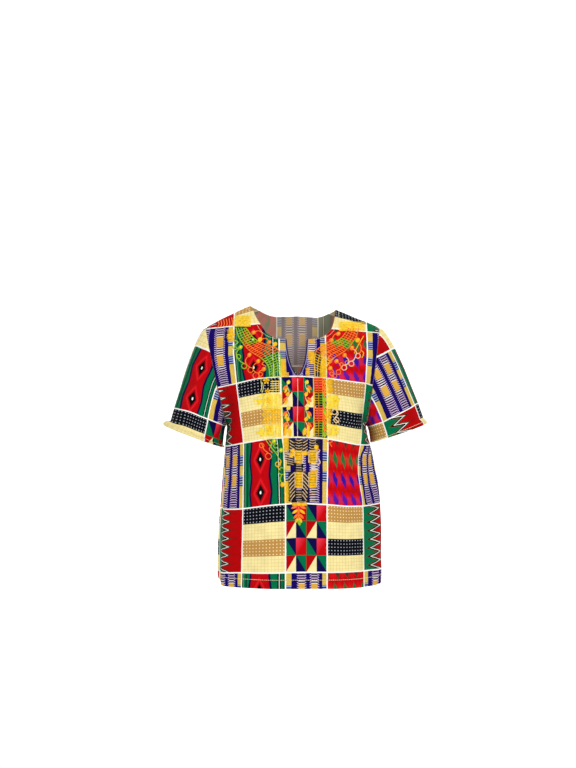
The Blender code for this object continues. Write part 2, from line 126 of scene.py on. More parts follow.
def section_points(name, side, share):
    """Points of one section: share 0 is its centre and 1 its side end."""
    if name in LOWER:
        section = LOWER[name]
        end = np.array([SIGN[side] * getattr(section, side), SIDE_SEAM_Y, section.side_z])
        turn, square, slump = LOWER_TURN, LOWER_SQUARE, 0.0
    else:
        section = UPPER[name]
        end = armhole(side, float(section.angle))
        turn, square, slump = section.turn, section.square, section.slump
    swing = math.radians(turn)

    def oval(at):
        s, c = np.sin(at), np.cos(at)
        size = (np.abs(s) ** square + np.abs(c) ** square) ** (1 / square)
        return s / size, c / size

    out, forward = oval(swing * share)
    full_out, full_forward = oval(swing)
    x = end[0] * out / full_out
    y = section.y + (end[1] - section.y) * (1 - forward) / (1 - full_forward)
    z = section.z + (end[2] - section.z) * np.abs(share) ** section.ease
    if side == "right":
        z = z - slump * np.sin(np.pi * share)
    return np.stack([x, y, z], axis=-1)


ENDS = np.array(
    [[section_points(name, "left", np.float64(s)) for s in (0, 1)] for name in ORDER]
)
STEPS = np.linalg.norm(np.diff(ENDS, axis=0), axis=-1).mean(axis=-1)
# How far along the cloth each section lies, from the front's hem over to the back's
PLACES = np.concatenate([[0], np.cumsum(STEPS)])


def curve_between(start, leaving, end, arriving, t):
    """A smooth curve from start to end that leaves and arrives with the given slopes."""
    return (
        start * (2 * t**3 - 3 * t**2 + 1)
        + leaving * (t**3 - 2 * t**2 + t)
        + end * (3 * t**2 - 2 * t**3)
        + arriving * (t**3 - t**2)
    )


def through_sections(side, share, row):
    """A smooth surface through the sections: row counts them, such as 2.5."""
    points = np.stack([section_points(name, side, share) for name in ORDER])
    slope = np.diff(points, axis=0) / np.diff(PLACES)[:, None, None]
    before = np.concatenate([slope[:1], slope])
    after = np.concatenate([slope, slope[-1:]])
    both = before + after
    level = before * after <= 0
    slope = np.where(level, 0, 2 * before * after / np.where(level, 1, both))
    first = np.clip(row.astype(int), 0, len(ORDER) - 2)
    here = np.arange(len(share))
    gap = np.diff(PLACES)[first][:, None]
    return curve_between(
        points[first, here],
        slope[first, here] * gap,
        points[first + 1, here],
        slope[first + 1, here] * gap,
        (row - first)[:, None],
    )


def body_points(side, share, row):
    """Points of the body: through its sections, and drawn to the armhole's seam."""
    row = np.clip(row, 0.0, len(ORDER) - 1.0)
    here = through_sections(side, share, row)
    low, high = AT["front_underarm"], AT["back_underarm"]
    inside = (share > 0.5) & (row > low) & (row < high)
    angle = np.interp(row, np.arange(low, high + 1), ARMHOLE_ANGLES)
    miss = armhole(side, angle) - through_sections(side, np.ones_like(share), row)
    pull = np.where(inside, (2 * share - 1) ** 3, 0)[:, None]
    return here + miss * pull


# Soft folds: a ridge (depth above 0) or trough from one place on the cloth to another.
# across is the distance round the body from the centre line and z the height. The small
# ones are creases, where the cloth bends most: under the arms, at the waist and the hem.
# A fold that ends at HEM_Z, just below the hem, runs out through it at its full depth.
Fold = namedtuple("Fold", "across_from z_from across_to z_to width depth")
HEM_Z = -0.470
FRONT_FOLDS = [
    Fold(-0.150, -0.205, -0.104, -0.130, 0.012, -0.0034),
    Fold(-0.128, -0.222, -0.086, -0.165, 0.013, 0.0026),
    Fold(-0.152, -0.225, -0.160, -0.470, 0.014, -0.0040),
    Fold(-0.124, -0.260, -0.130, -0.470, 0.016, 0.0034),
    Fold(-0.090, -0.300, -0.086, -0.470, 0.020, -0.0022),
    Fold(-0.040, -0.330, -0.046, -0.470, 0.022, 0.0018),
    Fold(0.146, -0.205, 0.100, -0.140, 0.012, -0.0032),
    Fold(0.124, -0.222, 0.082, -0.175, 0.013, 0.0024),
    Fold(0.140, -0.225, 0.128, -0.330, 0.012, -0.0038),
    Fold(0.158, -0.260, 0.156, -0.470, 0.015, 0.0034),
    Fold(0.122, -0.330, 0.126, -0.470, 0.016, -0.0028),
    Fold(0.060, -0.310, 0.066, -0.470, 0.022, 0.0020),
    Fold(0.014, -0.350, 0.012, -0.470, 0.020, -0.0016),
    Fold(-0.118, -0.120, -0.070, -0.082, 0.014, -0.0016),
    Fold(-0.138, -0.100, -0.146, -0.228, 0.019, -0.0056),
    Fold(0.134, -0.112, 0.140, -0.224, 0.017, -0.0040),
    Fold(0.108, -0.118, 0.066, -0.084, 0.014, -0.0016),
    # creases
    Fold(-0.150, -0.236, -0.112, -0.214, 0.006, -0.0013),
    Fold(-0.146, -0.252, -0.118, -0.240, 0.006, 0.0010),
    Fold(-0.158, -0.300, -0.120, -0.322, 0.008, -0.0012),
    Fold(-0.104, -0.352, -0.070, -0.366, 0.007, 0.0008),
    Fold(-0.150, -0.382, -0.112, -0.400, 0.009, -0.0011),
    Fold(-0.060, -0.232, -0.034, -0.262, 0.009, -0.0007),
    Fold(-0.072, -0.128, -0.052, -0.170, 0.008, -0.0008),
    Fold(0.148, -0.232, 0.108, -0.206, 0.006, -0.0014),
    Fold(0.142, -0.250, 0.110, -0.236, 0.007, 0.0010),
    Fold(0.155, -0.288, 0.116, -0.300, 0.008, -0.0013),
    Fold(0.148, -0.340, 0.104, -0.368, 0.009, -0.0012),
    Fold(0.092, -0.392, 0.060, -0.404, 0.008, 0.0008),
    Fold(0.150, -0.410, 0.120, -0.426, 0.008, 0.0009),
    Fold(0.066, -0.150, 0.048, -0.196, 0.009, -0.0008),
    Fold(0.030, -0.300, 0.058, -0.322, 0.009, -0.0007),
]
BACK_FOLDS = [
    Fold(-0.148, -0.200, -0.104, -0.120, 0.013, -0.0034),
    Fold(-0.126, -0.215, -0.086, -0.150, 0.014, 0.0026),
    Fold(-0.150, -0.230, -0.154, -0.470, 0.015, -0.0040),
    Fold(-0.118, -0.240, -0.122, -0.470, 0.018, 0.0040),
    Fold(-0.074, -0.210, -0.080, -0.470, 0.020, -0.0044),
    Fold(-0.026, -0.170, -0.032, -0.470, 0.020, 0.0034),
    Fold(0.016, -0.220, 0.014, -0.470, 0.018, -0.0034),
    Fold(0.058, -0.180, 0.062, -0.470, 0.020, 0.0038),
    Fold(0.100, -0.220, 0.106, -0.470, 0.018, -0.0042),
    Fold(0.144, -0.200, 0.100, -0.120, 0.013, -0.0034),
    Fold(0.124, -0.215, 0.084, -0.150, 0.014, 0.0026),
    Fold(0.142, -0.240, 0.150, -0.470, 0.015, 0.0036),
    # creases
    Fold(-0.148, -0.226, -0.106, -0.196, 0.007, -0.0014),
    Fold(-0.142, -0.246, -0.102, -0.226, 0.007, 0.0011),
    Fold(-0.120, -0.300, -0.062, -0.330, 0.009, -0.0013),
    Fold(-0.146, -0.362, -0.096, -0.388, 0.009, -0.0012),
    Fold(-0.052, -0.108, -0.062, -0.206, 0.012, -0.0024),
    Fold(0.048, -0.100, 0.066, -0.218, 0.013, -0.0026),
    Fold(-0.098, -0.196, -0.110, -0.352, 0.012, -0.0028),
    Fold(0.088, -0.226, 0.078, -0.402, 0.012, 0.0024),
    Fold(-0.040, -0.256, -0.060, -0.430, 0.013, -0.0026),
    Fold(0.034, -0.290, 0.040, -0.452, 0.012, 0.0022),
    Fold(0.146, -0.228, 0.104, -0.200, 0.007, -0.0014),
    Fold(0.138, -0.250, 0.100, -0.232, 0.007, 0.0011),
    Fold(0.126, -0.318, 0.070, -0.296, 0.009, -0.0013),
    Fold(0.136, -0.386, 0.086, -0.372, 0.009, 0.0010),
]

# The slight unevenness of worn cotton: its size, and its waves in radians a metre
UNEVEN = 0.00022
Wave = namedtuple("Wave", "across up phase size")
WAVES = [
    Wave(61, 23, 0.3, 0.9),
    Wave(-37, 71, 1.9, 0.7),
    Wave(113, -47, 4.1, 0.5),
    Wave(29, -131, 2.6, 0.4),
    Wave(167, 89, 0.8, 0.5),
    Wave(-143, 187, 5.2, 0.35),
]

# Beside a seam the cloth sinks a little, and the stitches draw it into small puckers
# 10.5 mm long. The folds fade out over the last sixth of the way to the side.
SEAM_SINK, SINK_REACH = 0.0008, 0.004
PUCKER, PUCKER_REACH = 0.0004, 0.011
PUCKER_RADIANS = 600
FADE_PARTS = 6
# The step, in shares and rows, over which the cloth's slope is measured
SMALL_STEP = 1e-3


def fold_lift(folds, across, z):
    """How far the folds lift the cloth at each place."""
    lift = np.zeros_like(across)
    for fold in folds:
        run = np.array([fold.across_to - fold.across_from, fold.z_to - fold.z_from])
        here = np.stack([across - fold.across_from, z - fold.z_from], axis=-1)
        nearest = np.clip(here @ run / (run @ run), 0, 1)
        off = np.linalg.norm(here - nearest[:, None] * run, axis=-1) / fold.width
        runs_out = fold.z_to <= HEM_Z
        fade = np.minimum(1, 4 * nearest) if runs_out else np.sin(np.pi * nearest)
        lift += fold.depth * np.exp(-(off**2)) * fade
    return lift


def unevenness(across, z):
    return UNEVEN * sum(
        wave.size * np.sin(wave.across * across + wave.up * z + wave.phase) for wave in WAVES
    )


def unit(vectors):
    return vectors / np.linalg.norm(vectors, axis=-1)[..., None]


def distance_along(points):
    """How far along a line of points each one lies, from the first."""
    steps = np.linalg.norm(np.diff(points, axis=0), axis=-1)
    return np.concatenate([np.zeros_like(steps[:1]), np.cumsum(steps, axis=0)])


def folded_body(side, share, row, folds):
    """(points, distance round from the centre line) of the body with its folds."""
    here = body_points(side, share, row)
    step = np.where(row > AT["shoulder"], -SMALL_STEP, SMALL_STEP)
    by_share = body_points(side, share + SMALL_STEP, row) - here
    by_row = body_points(side, share, row + step) - here
    inward = unit(np.cross(by_row, by_share) * (SIGN[side] * step)[:, None])
    from_centre = [body_points(side, share * n / 8, row) for n in range(9)]
    girth = SIGN[side] * distance_along(np.stack(from_centre))[-1]
    lift = fold_lift(folds, girth, here[:, 2]) + unevenness(girth, here[:, 2])
    lift *= np.sin(np.pi / 2 * np.minimum(1.0, np.abs(1 - share) * FADE_PARTS))
    to_seam = [body_points(side, share + (1 - share) * n / 3, row) for n in range(4)]
    to_seam = distance_along(np.stack(to_seam))[-1]
    lift -= SEAM_SINK * np.exp(-((to_seam / SINK_REACH) ** 2))
    place = np.interp(row, np.arange(len(ORDER)), PLACES)
    pucker = PUCKER * np.sin(place * PUCKER_RADIANS) * (to_seam > 0)
    lift += pucker * np.exp(-((to_seam / PUCKER_REACH) ** 2))
    return here - inward * lift[:, None], girth


# The neck's cut edge from the middle out to the shoulder seam: left, right, and the
# height on the front or y on the back
SLIT_EDGE = [
    (0.0066, 0.0052, -0.1085),
    (0.0124, 0.0102, -0.0950),
    (0.0164, 0.0134, -0.0760),
    (0.0182, 0.0148, -0.0570),
]
FRONT_NECK = [
    (0.0300, 0.0290, -0.0560),
    (0.0430, 0.0425, -0.0525),
    (0.0540, 0.0530, -0.0435),
    (0.0620, 0.0590, -0.0315),
    (0.0695, 0.0618, -0.0190),
    (0.0762, 0.0640, -0.0060),
]
NECK_AT_SHOULDER = (0.0805, 0.0655, 0.0080)
BACK_NECK = [
    (0.0000, 0.0000, 0.0560),
    (0.0230, 0.0190, 0.0550),
    (0.0440, 0.0370, 0.0510),
    (0.0620, 0.0515, 0.0400),
    (0.0745, 0.0610, 0.0240),
]


def find_on_body(side, neck_point, level_axis, row):
    """(share, row) of a neck point, found from a row near it by Newton's method.
    level_axis says which axis the point's last value is on, 1 for y or 2 for z."""
    half = neck_point[0] if side == "left" else neck_point[1]
    wanted = np.array([SIGN[side] * half, neck_point[2]])
    place, step = np.array([0.4, row]), 1e-4
    nudge = np.array([[0, 0], [step, 0], [0, step]])
    for _ in range(20):
        near = place + nudge
        points = body_points(side, near[:, 0], near[:, 1])[:, [0, level_axis]]
        slopes = ((points[1:] - points[0]) / step).T
        place = place + np.linalg.solve(slopes, wanted - points[0])
    return max(place[0], 0.0), place[1]


# The rows of a half panel: on the hem by its depth, then a step apart up to the underarm,
# and in five parts from there to the neck's foot
HEM_ROWS = (0, 0.5, 1, 1.12)
FIRST_ROW, ROW_STEP, LAST_GAP = 0.42, 0.29, 0.1


def panel_rows(side, is_front):
    """(share, row) of the inner and of the outer end of each row, hem first, and how
    many rows meet the other half."""
    step = 1 if is_front else -1
    hem = AT["front_hem" if is_front else "back_hem"]
    underarm = AT["front_underarm" if is_front else "back_underarm"]
    centre_top = AT["slit_foot" if is_front else "under_blade"]
    a_row = abs(PLACES[hem + step] - PLACES[hem])
    seam = [hem + step * part * BODY_HEM / a_row for part in HEM_ROWS]
    seam += [hem + step * (FIRST_ROW + ROW_STEP * n) for n in range(13)]
    seam = [row for row in seam if (underarm - row) * step > LAST_GAP]
    seam += [underarm + (centre_top - underarm) * n / 5 for n in range(6)]
    joined = len(seam)
    if is_front:
        neck = [find_on_body(side, p, 2, AT["collarbone"]) for p in SLIT_EDGE]
        neck += [find_on_body(side, p, 2, AT["throat"]) for p in FRONT_NECK]
    else:
        middle = find_on_body(side, BACK_NECK[0], 1, AT["nape"])[1]
        neck = [(0.0, centre_top + (middle - centre_top) * n / 5) for n in range(1, 5)]
        neck += [find_on_body(side, p, 1, AT["nape"]) for p in BACK_NECK]
        joined += 5
    shoulder = AT["shoulder"]
    near_seam = shoulder - LAST_GAP * step
    neck.append((find_on_body(side, NECK_AT_SHOULDER, 1, near_seam)[0], shoulder))
    inner = [(0.0, row) for row in seam] + neck
    climb = (shoulder - centre_top) / len(neck)
    outer = [(1.0, row) for row in seam]
    outer += [(1.0, centre_top + climb * (n + 1)) for n in range(len(neck))]
    return np.array(inner), np.array(outer), joined


HALF_COLUMNS, ROW_PARTS = 56, 5


def finer(ends, corners):
    """Rows between rows, on a smooth curve that keeps its corners."""
    made = []
    for n, (start, end) in enumerate(zip(ends, ends[1:])):
        leaving = arriving = end - start
        if n not in corners:
            leaving = (end - ends[n - 1]) / 2
        if n + 1 not in corners and n + 2 < len(ends):
            arriving = (ends[n + 2] - start) / 2
        for t in np.arange(ROW_PARTS) / ROW_PARTS:
            made.append(curve_between(start, leaving, end, arriving, t))
    return np.array([*made, ends[-1]])


# Where the lines between the print's blocks lie on the front. A block is 71.5 mm wide
# and 107 mm high, and its lines are counted from the left and from the hem up.
BLOCK_WIDE, BLOCK_HIGH = 0.0715, 0.107
COLUMN_LINES = [
    # height, then x of column lines 1 to 4
    (-0.4600, -0.0924, -0.0200, 0.0475, 0.1085),
    (-0.3243, -0.0897, -0.0200, 0.0475, 0.1066),
    (-0.3030, -0.0894, -0.0208, 0.0478, 0.1032),
    (-0.2750, -0.0891, -0.0218, 0.0483, 0.0992),
    (-0.2550, -0.0889, -0.0226, 0.0486, 0.0990),
    (-0.2317, -0.0886, -0.0234, 0.0489, 0.1024),
    (-0.2170, -0.0898, -0.0254, 0.0491, 0.1045),
    (-0.0800, -0.1058, -0.0307, 0.0456, 0.1149),
]
# For each row line: how high its middle is, then x and how far it has dropped there, in mm
ROW_LINES = [
    (-0.4369, [(-.1335, 5), (-.097, 2.5), (0, 0), (.14, 0)]),
    (-0.3243, [(-.130, 13), (-.093, 11), (-.046, 4), (0, 0), (.046, 2.5), (.08, 6),
               (.108, 6.5), (.135, 4)]),
    (-0.2170, [(-.1235, 18), (-.092, 11), (-.046, 2.5), (0, 0), (.046, 2.5), (.071, 7.5),
               (.096, 13), (.118, 15)]),
    (-0.1179, [(-.137, 20), (-.105, 13), (-.066, 4), (-.028, 1), (0, 0), (.046, 3),
               (.096, 10), (.113, 12), (.1265, 16)]),
]
TOP_LINE = [(-.154, -.0386), (-.065, -.0310), (.059, -.0394), (.135, -.0453)]
# Outside the first column line the print is eased: at three heights, how far outside the
# line its places -3, 0, 0.5 and 0.62 lie
EASE_HEIGHTS = (-0.24, -0.20, -0.10)
LEFT_EASE = {
    -3: (0.2870, 0.2933, 0.3012),
    0: (0.0725, 0.0788, 0.0867),
    0.5: (0.0295, 0.0358, 0.0437),
    0.62: (0.0224, 0.0271, 0.0300),
}
# Outside the last one a deep fold at the waist hides part of the print: the height, and
# how much cloth shows there up to its place 4.31
RIGHT_SHOWN = [(-0.336, 0.0222), (-0.326, 0.009), (-0.246, 0.009), (-0.234, 0.0222)]
RIGHT_PLACE, LAST_PLACE = 4.31, 8


def front_print(points, girth, place):
    """(column, row) in the print, for grids of points with the hem first."""
    x, z = points[..., 0], points[..., 2]
    heights, *lines = zip(*COLUMN_LINES)
    column = np.empty_like(x)
    for n in range(len(x)):
        near = np.argsort(x[n])
        height = np.median(z[n])
        xs = [np.interp(height, heights, line) for line in lines]
        marks = np.interp(xs, x[n][near], girth[n][near])
        eased = [marks[0] - np.interp(height, EASE_HEIGHTS, out) for out in LEFT_EASE.values()]
        shown = marks[3] + np.interp(height, *zip(*RIGHT_SHOWN))
        last = shown + (LAST_PLACE - RIGHT_PLACE) * BLOCK_WIDE
        at = [*LEFT_EASE, 1, 2, 3, 4, RIGHT_PLACE, LAST_PLACE]
        column[n] = np.interp(girth[n], [*eased, *marks, shown, last], at)
    heights = [middle - np.interp(x, *zip(*drops)) / 1000 for middle, drops in ROW_LINES]
    heights.append(np.interp(x, *zip(*TOP_LINE)))
    row = (z - heights[0]) / (heights[1] - heights[0])
    for n in range(1, 4):
        share = (z - heights[n]) / (heights[n + 1] - heights[n])
        row = np.where(share >= 0, n + share, row)
    # above the top line the print runs on over the shoulder at its own size
    for k in range(x.shape[1]):
        over = row[:, k] > 4
        if over.any():
            first = np.argmax(over)
            share = (4 - row[first - 1, k]) / (row[first, k] - row[first - 1, k])
            start = place[first - 1, k] + share * (place[first, k] - place[first - 1, k])
            row[first:, k] = 4 + np.abs(place[first:, k] - start) / BLOCK_HIGH
    return column, row


def cloth_mesh(name, points, prints, faces, sewn_to):
    """(mesh, which points it keeps) of an open sheet. prints holds where each point lies
    in the print, and sewn_to the point that takes its place where the sheet is joined."""
    kept, numbers = np.unique(sewn_to, return_inverse=True)
    mesh = bpy.data.meshes.new(name)
    mesh.from_pydata(points[kept].tolist(), [], numbers[faces].tolist())
    layer = mesh.uv_layers.new(name="print")
    layer.data.foreach_set("uv", prints[faces].astype(np.float32).ravel())
    mesh.shade_smooth()
    mesh.update()
    return mesh, kept


def grid_faces(rows, columns, flip):
    at = np.arange(rows * columns).reshape(rows, columns)
    a, b, c, d = at[:-1, :-1], at[:-1, 1:], at[1:, 1:], at[1:, :-1]
    order = (a, d, c, b) if flip else (a, b, c, d)
    return np.stack([part.ravel() for part in order], axis=-1)


def panel_half(side, is_front):
    """(points, distance round, place along, how many rows the halves share) of one half,
    as grids with the hem's row first and the centre line's column first."""
    inner, outer, joined = panel_rows(side, is_front)
    corners = {0, 3, joined - 1, joined + 3} if is_front else {0, 3, joined - 1}
    inner, outer = (finer(ends, corners) for ends in (inner, outer))
    t = np.arange(HALF_COLUMNS + 1) / HALF_COLUMNS
    spots = inner[:, None] + (outer - inner)[:, None] * t[None, :, None]
    share, row = spots.reshape(-1, 2).T
    points, girth = folded_body(side, share, row, FRONT_FOLDS if is_front else BACK_FOLDS)
    points = points.reshape(*spots.shape[:2], 3)
    points[:, -1] += unit(points[:, -2] - points[:, -1]) * SEAM_GAP / 2
    points[-1] += unit(points[-2] - points[-1]) * SEAM_GAP / 2
    place = np.interp(spots[..., 1], np.arange(len(ORDER)), PLACES)
    return points, girth.reshape(spots.shape[:2]), place, (joined - 1) * ROW_PARTS + 1


# The back's print: its place on the centre line, and how far up a block its hem starts
BACK_COLUMN, BACK_ROW = 2.5, -0.27


def body_panel(name, is_front):
    """(mesh, the hem's points) of a panel, its two halves joined down the centre line."""
    halves = [panel_half(side, is_front) for side in ("left", "right")]
    points, girth, place, (joined, _) = zip(*halves)
    middle = (points[0][:joined, 0] + points[1][:joined, 0]) / 2
    points[0][:joined, 0] = points[1][:joined, 0] = middle
    rows, columns = girth[0].shape
    if is_front:
        whole = [np.concatenate([left[:, ::-1], right], axis=1)
                 for left, right in (points, girth, place)]
        column, row = ((grid[:, columns - 1 :: -1], grid[:, columns:])
                       for grid in front_print(*whole))
    else:
        column = [BACK_COLUMN - half / BLOCK_WIDE for half in girth]
        row = [(PLACES[-1] - half) / BLOCK_HIGH + BACK_ROW for half in place]
    points, prints = (
        np.concatenate([half.reshape(rows * columns, -1) for half in both])
        for both in (points, [np.stack(pair, axis=-1) for pair in zip(column, row)])
    )
    faces = np.concatenate([
        grid_faces(rows, columns, flip=is_front),
        grid_faces(rows, columns, flip=not is_front) + rows * columns,
    ])
    centre = np.arange(joined) * columns
    sewn_to = np.arange(len(points))
    sewn_to[centre + rows * columns] = centre
    mesh, kept = cloth_mesh(name, points, prints, faces, sewn_to)
    in_hem = kept % (rows * columns) < (2 * ROW_PARTS + 1) * columns
    return mesh, np.flatnonzero(in_hem)


def linear(colour):
    """An sRGB hex colour as linear red, green, blue and alpha."""
    parts = [int(colour[n : n + 2], 16) / 255 for n in (1, 3, 5)]
    return (*(p / 12.92 if p <= 0.04045 else ((p + 0.055) / 1.055) ** 2.4 for p in parts), 1.0)


def set_up(made, settings):
    """Sets a node's inputs and settings by name, or links them to another's output."""
    for name, value in settings.items():
        if isinstance(value, bpy.types.NodeSocket):
            tree.links.new(value, made.inputs[name])
        elif name in made.inputs:
            made.inputs[name].default_value = value
        else:
            setattr(made, name, value)


def node(kind, *inputs, out=0, ramp=None, blend=False, **settings):
    """Adds a node to the material being made and gives one of its outputs. A plain word
    among the inputs is the operation, one with # a colour, and None keeps a default."""
    made = tree.nodes.new("ShaderNode" + kind)
    for word in [v for v in inputs if isinstance(v, str) and v[0] != "#"]:
        setattr(made, "blend_type" if kind == "MixRGB" else "operation", word)
    set_up(made, settings)
    values = [v for v in inputs if not (isinstance(v, str) and v[0] != "#")]
    for socket, value in zip(made.inputs, values):
        if isinstance(value, bpy.types.NodeSocket):
            tree.links.new(value, socket)
        elif isinstance(value, str):
            socket.default_value = linear(value)
        elif value is not None:
            socket.default_value = value
    if ramp:
        made.color_ramp.interpolation = "LINEAR" if blend else "CONSTANT"
        stops = made.color_ramp.elements
        while len(stops) < len(ramp):
            stops.new(1.0)
        for stop, (place, colour) in zip(stops, ramp):
            stop.position, stop.color = place, linear(colour)
    return made.outputs[out]


def new_material(name):
    """(material, shader). node() adds to this material until the next one is made."""
    global tree
    material = bpy.data.materials.new(name)
    material.use_nodes = True
    tree = material.node_tree
    return material, tree.nodes["Principled BSDF"]


# Inks. Each strip below fills one block of the print: s runs across it from 0 to 1, and
# top down it. Bars, ribs, hatching and dots repeat a whole number of times in a block.
CREAM, TAN, INK, RED, GREEN = "#F2E2A0", "#BC8C48", "#05070F", "#B20206", "#006E44"
VIOLET, NAVY, LILAC, YELLOW, CHALK = "#14045E", "#0F0646", "#CDB2DC", "#DDBE55", "#FBF8F2"


def away_from(value, middle):
    return node("Math", "ABSOLUTE", node("Math", "SUBTRACT", value, middle))


def repeated(value, count):
    """The place, from 0 to 1, within each of count repeats."""
    return node("Math", "FRACT", node("Math", "MULTIPLY", value, float(count)))


def ladder_strip(s, top):
    """Purple with two ladders of gold squares, hatched edges and a ribbed gold border.
    Its finest bars are drawn a little coarser than they are printed, so that they show."""
    bar_gap, rib_gap, hatch_gap = 0.0041, 0.0024, 0.0037
    bar = repeated(top, round(BLOCK_HIGH / bar_gap))
    rib = node("Math", "LESS_THAN", repeated(top, round(BLOCK_HIGH / rib_gap)), 0.3)

    def near(upper, lower, reach):
        return node("Math", "MAXIMUM", node("Math", "COMPARE", top, upper, reach),
                    node("Math", "COMPARE", top, lower, reach))

    bars = node("MixRGB", near(0.25, 0.56, 0.15), "#C6ACD2", "#E6DCE2")
    bars = node("MixRGB", node("Math", "LESS_THAN", bar, 0.42), "#060416", bars)
    blue_bars = node("MixRGB", node("Math", "LESS_THAN", bar, 0.5), "#0B0E22", "#98A4D6")
    border = node("MixRGB", rib, YELLOW, "#C7A24A")
    border = node("MixRGB", near(0.265, 0.575, 0.078), border, blue_bars)
    squares = node("MixRGB", rib, "#E3B045", "#C08A3A")
    ladder = node("MixRGB", near(0.25, 0.56, 0.085), bars, squares)
    colour = VIOLET
    for middle, lean in ((0.385, 9.0), (0.695, -9.0)):
        off = away_from(s, middle)
        hatch = node("Math", "MULTIPLY", top, float(round(BLOCK_HIGH / hatch_gap)))
        hatch = node("Math", "FRACT", node("Math", "MULTIPLY_ADD", off, lean, hatch))
        edging = node("MixRGB", node("Math", "LESS_THAN", hatch, 0.38), VIOLET, LILAC)
        colour = node("MixRGB", node("Math", "LESS_THAN", off, 0.112), colour, edging)
        colour = node("MixRGB", node("Math", "LESS_THAN", off, 0.074), colour, ladder)
    at_border = node("Math", "GREATER_THAN", away_from(s, 0.5125), 0.3725)
    return node("MixRGB", at_border, colour, border)


def diamond_strip(s, top):
    """Red between waved green stripes, with two black diamonds that have white eyes."""
    from_eye = node("Math", "FRACT", node("Math", "MULTIPLY_ADD", top, 2.0, -0.08))
    from_eye = away_from(from_eye, 0.5)
    side_of = node("Math", "SUBTRACT", s, 0.43)
    from_middle = node("Math", "ABSOLUTE", side_of)
    wave = node("Math", "MULTIPLY_ADD", from_eye, -0.09, 0.022)
    waved = node("Math", "MULTIPLY_ADD", node("Math", "SIGN", side_of),
                 node("Math", "MULTIPLY", wave, -1.0), s)
    stripes = [
        (0, "#0A3C28"), (.045, "#8DB890"), (.054, GREEN), (.095, "#0A3C28"), (.13, GREEN),
        (.172, "#120B3E"), (.218, RED), (.642, "#120B3E"), (.695, GREEN), (.82, "#0B2A1E"),
        (.852, "#DDEBDD"), (.868, "#0B2A1E"), (.90, GREEN), (.94, "#0B4A30"), (.965, GREEN)]
    colour = node("MixRGB", node("Math", "LESS_THAN", from_middle, 0.28),
                  node("ValToRGB", s, ramp=stripes), node("ValToRGB", waved, ramp=stripes))
    diamond = node("Math", "ADD", node("Math", "DIVIDE", from_middle, 0.092),
                   node("Math", "DIVIDE", from_eye, 0.235))
    glow = node("ValToRGB", node("MapRange", diamond, 1.0, 2.4, 0.0, 1.0), blend=True, ramp=[
        (0, "#A0040C"), (.28, "#C80A14"), (.48, "#E01E2C"), (.64, "#CA0A14"), (.9, "#BA040C")])
    colour = node("MixRGB", node("Math", "LESS_THAN", from_middle, 0.18), colour, glow)
    in_diamond = node("MapRange", diamond, 0.92, 1.22, 1.0, 0.0)
    colour = node("MixRGB", in_diamond, colour, "#0A0608")
    eye = [node("Math", "POWER", node("Math", "DIVIDE", value, size), 2.0)
           for value, size in ((from_middle, 0.020), (from_eye, 0.050))]
    eye = node("Math", "LESS_THAN", node("Math", "ADD", *eye), 1.0)
    return node("MixRGB", eye, colour, CHALK)


def flame_strip(s, top, u, v):
    """Tie-dyed flames on red: rows of leaning lozenges with streaked, soft edges. u and v
    are the place in the whole print, so that no two blocks are streaked alike."""
    row_high, streak_wide, streak_high = 0.03344, 0.001625, 0.0214
    streaks = node("CombineXYZ", node("Math", "MULTIPLY", u, BLOCK_WIDE / streak_wide),
                   node("Math", "MULTIPLY", v, BLOCK_HIGH / streak_high), 0.0)
    streaks = node("Math", "SUBTRACT", node("TexNoise", streaks, Scale=1.0, Detail=2.0), 0.5)
    down = node("Math", "MULTIPLY_ADD", top, BLOCK_HIGH / row_high, -0.42)
    down = node("Math", "FRACT", node("Math", "MULTIPLY_ADD", streaks, 0.4, down))
    down = node("Math", "SUBTRACT", down, 0.5)
    slant = node("Math", "MULTIPLY_ADD", s, 4.0, 0.58)
    slant = node("Math", "MULTIPLY_ADD", down, -0.5, slant)
    across = away_from(node("Math", "FRACT", slant), 0.5)
    down = node("Math", "ABSOLUTE", down)
    lozenge = node("Math", "ADD", node("Math", "DIVIDE", across, 0.31),
                   node("Math", "DIVIDE", down, 0.46))
    cool = node("ValToRGB", top, blend=True, ramp=[
        (0, "#3A2A22"), (.16, "#5A4A2A"), (.22, "#1C6A34"), (.44, "#3A6A34"), (.50, "#32128C"),
        (.78, "#3A16A0"), (.85, "#5A1AA0"), (1, "#54169A")])
    between = node("ValToRGB", top, blend=True, ramp=[
        (0, "#A81410"), (.2, "#C83A22"), (.45, "#BC3A26"), (.55, "#C22650"), (1, "#CC2A60")])
    edge = node("Math", "MULTIPLY_ADD", streaks, 0.3, down)
    edge = node("Math", "MULTIPLY_ADD", across, -0.5, edge)
    ground = node("MixRGB", node("MapRange", edge, 0.12, 0.3, 0.0, 1.0), "#D20A11", "#B8050C")
    ground = node("MixRGB", node("MapRange", edge, 0.05, -0.08, 0.0, 0.8), ground, between)
    in_lozenge = node("MapRange", lozenge, 0.80, 1.10, 1.0, 0.0)
    return node("MixRGB", in_lozenge, ground, cool)


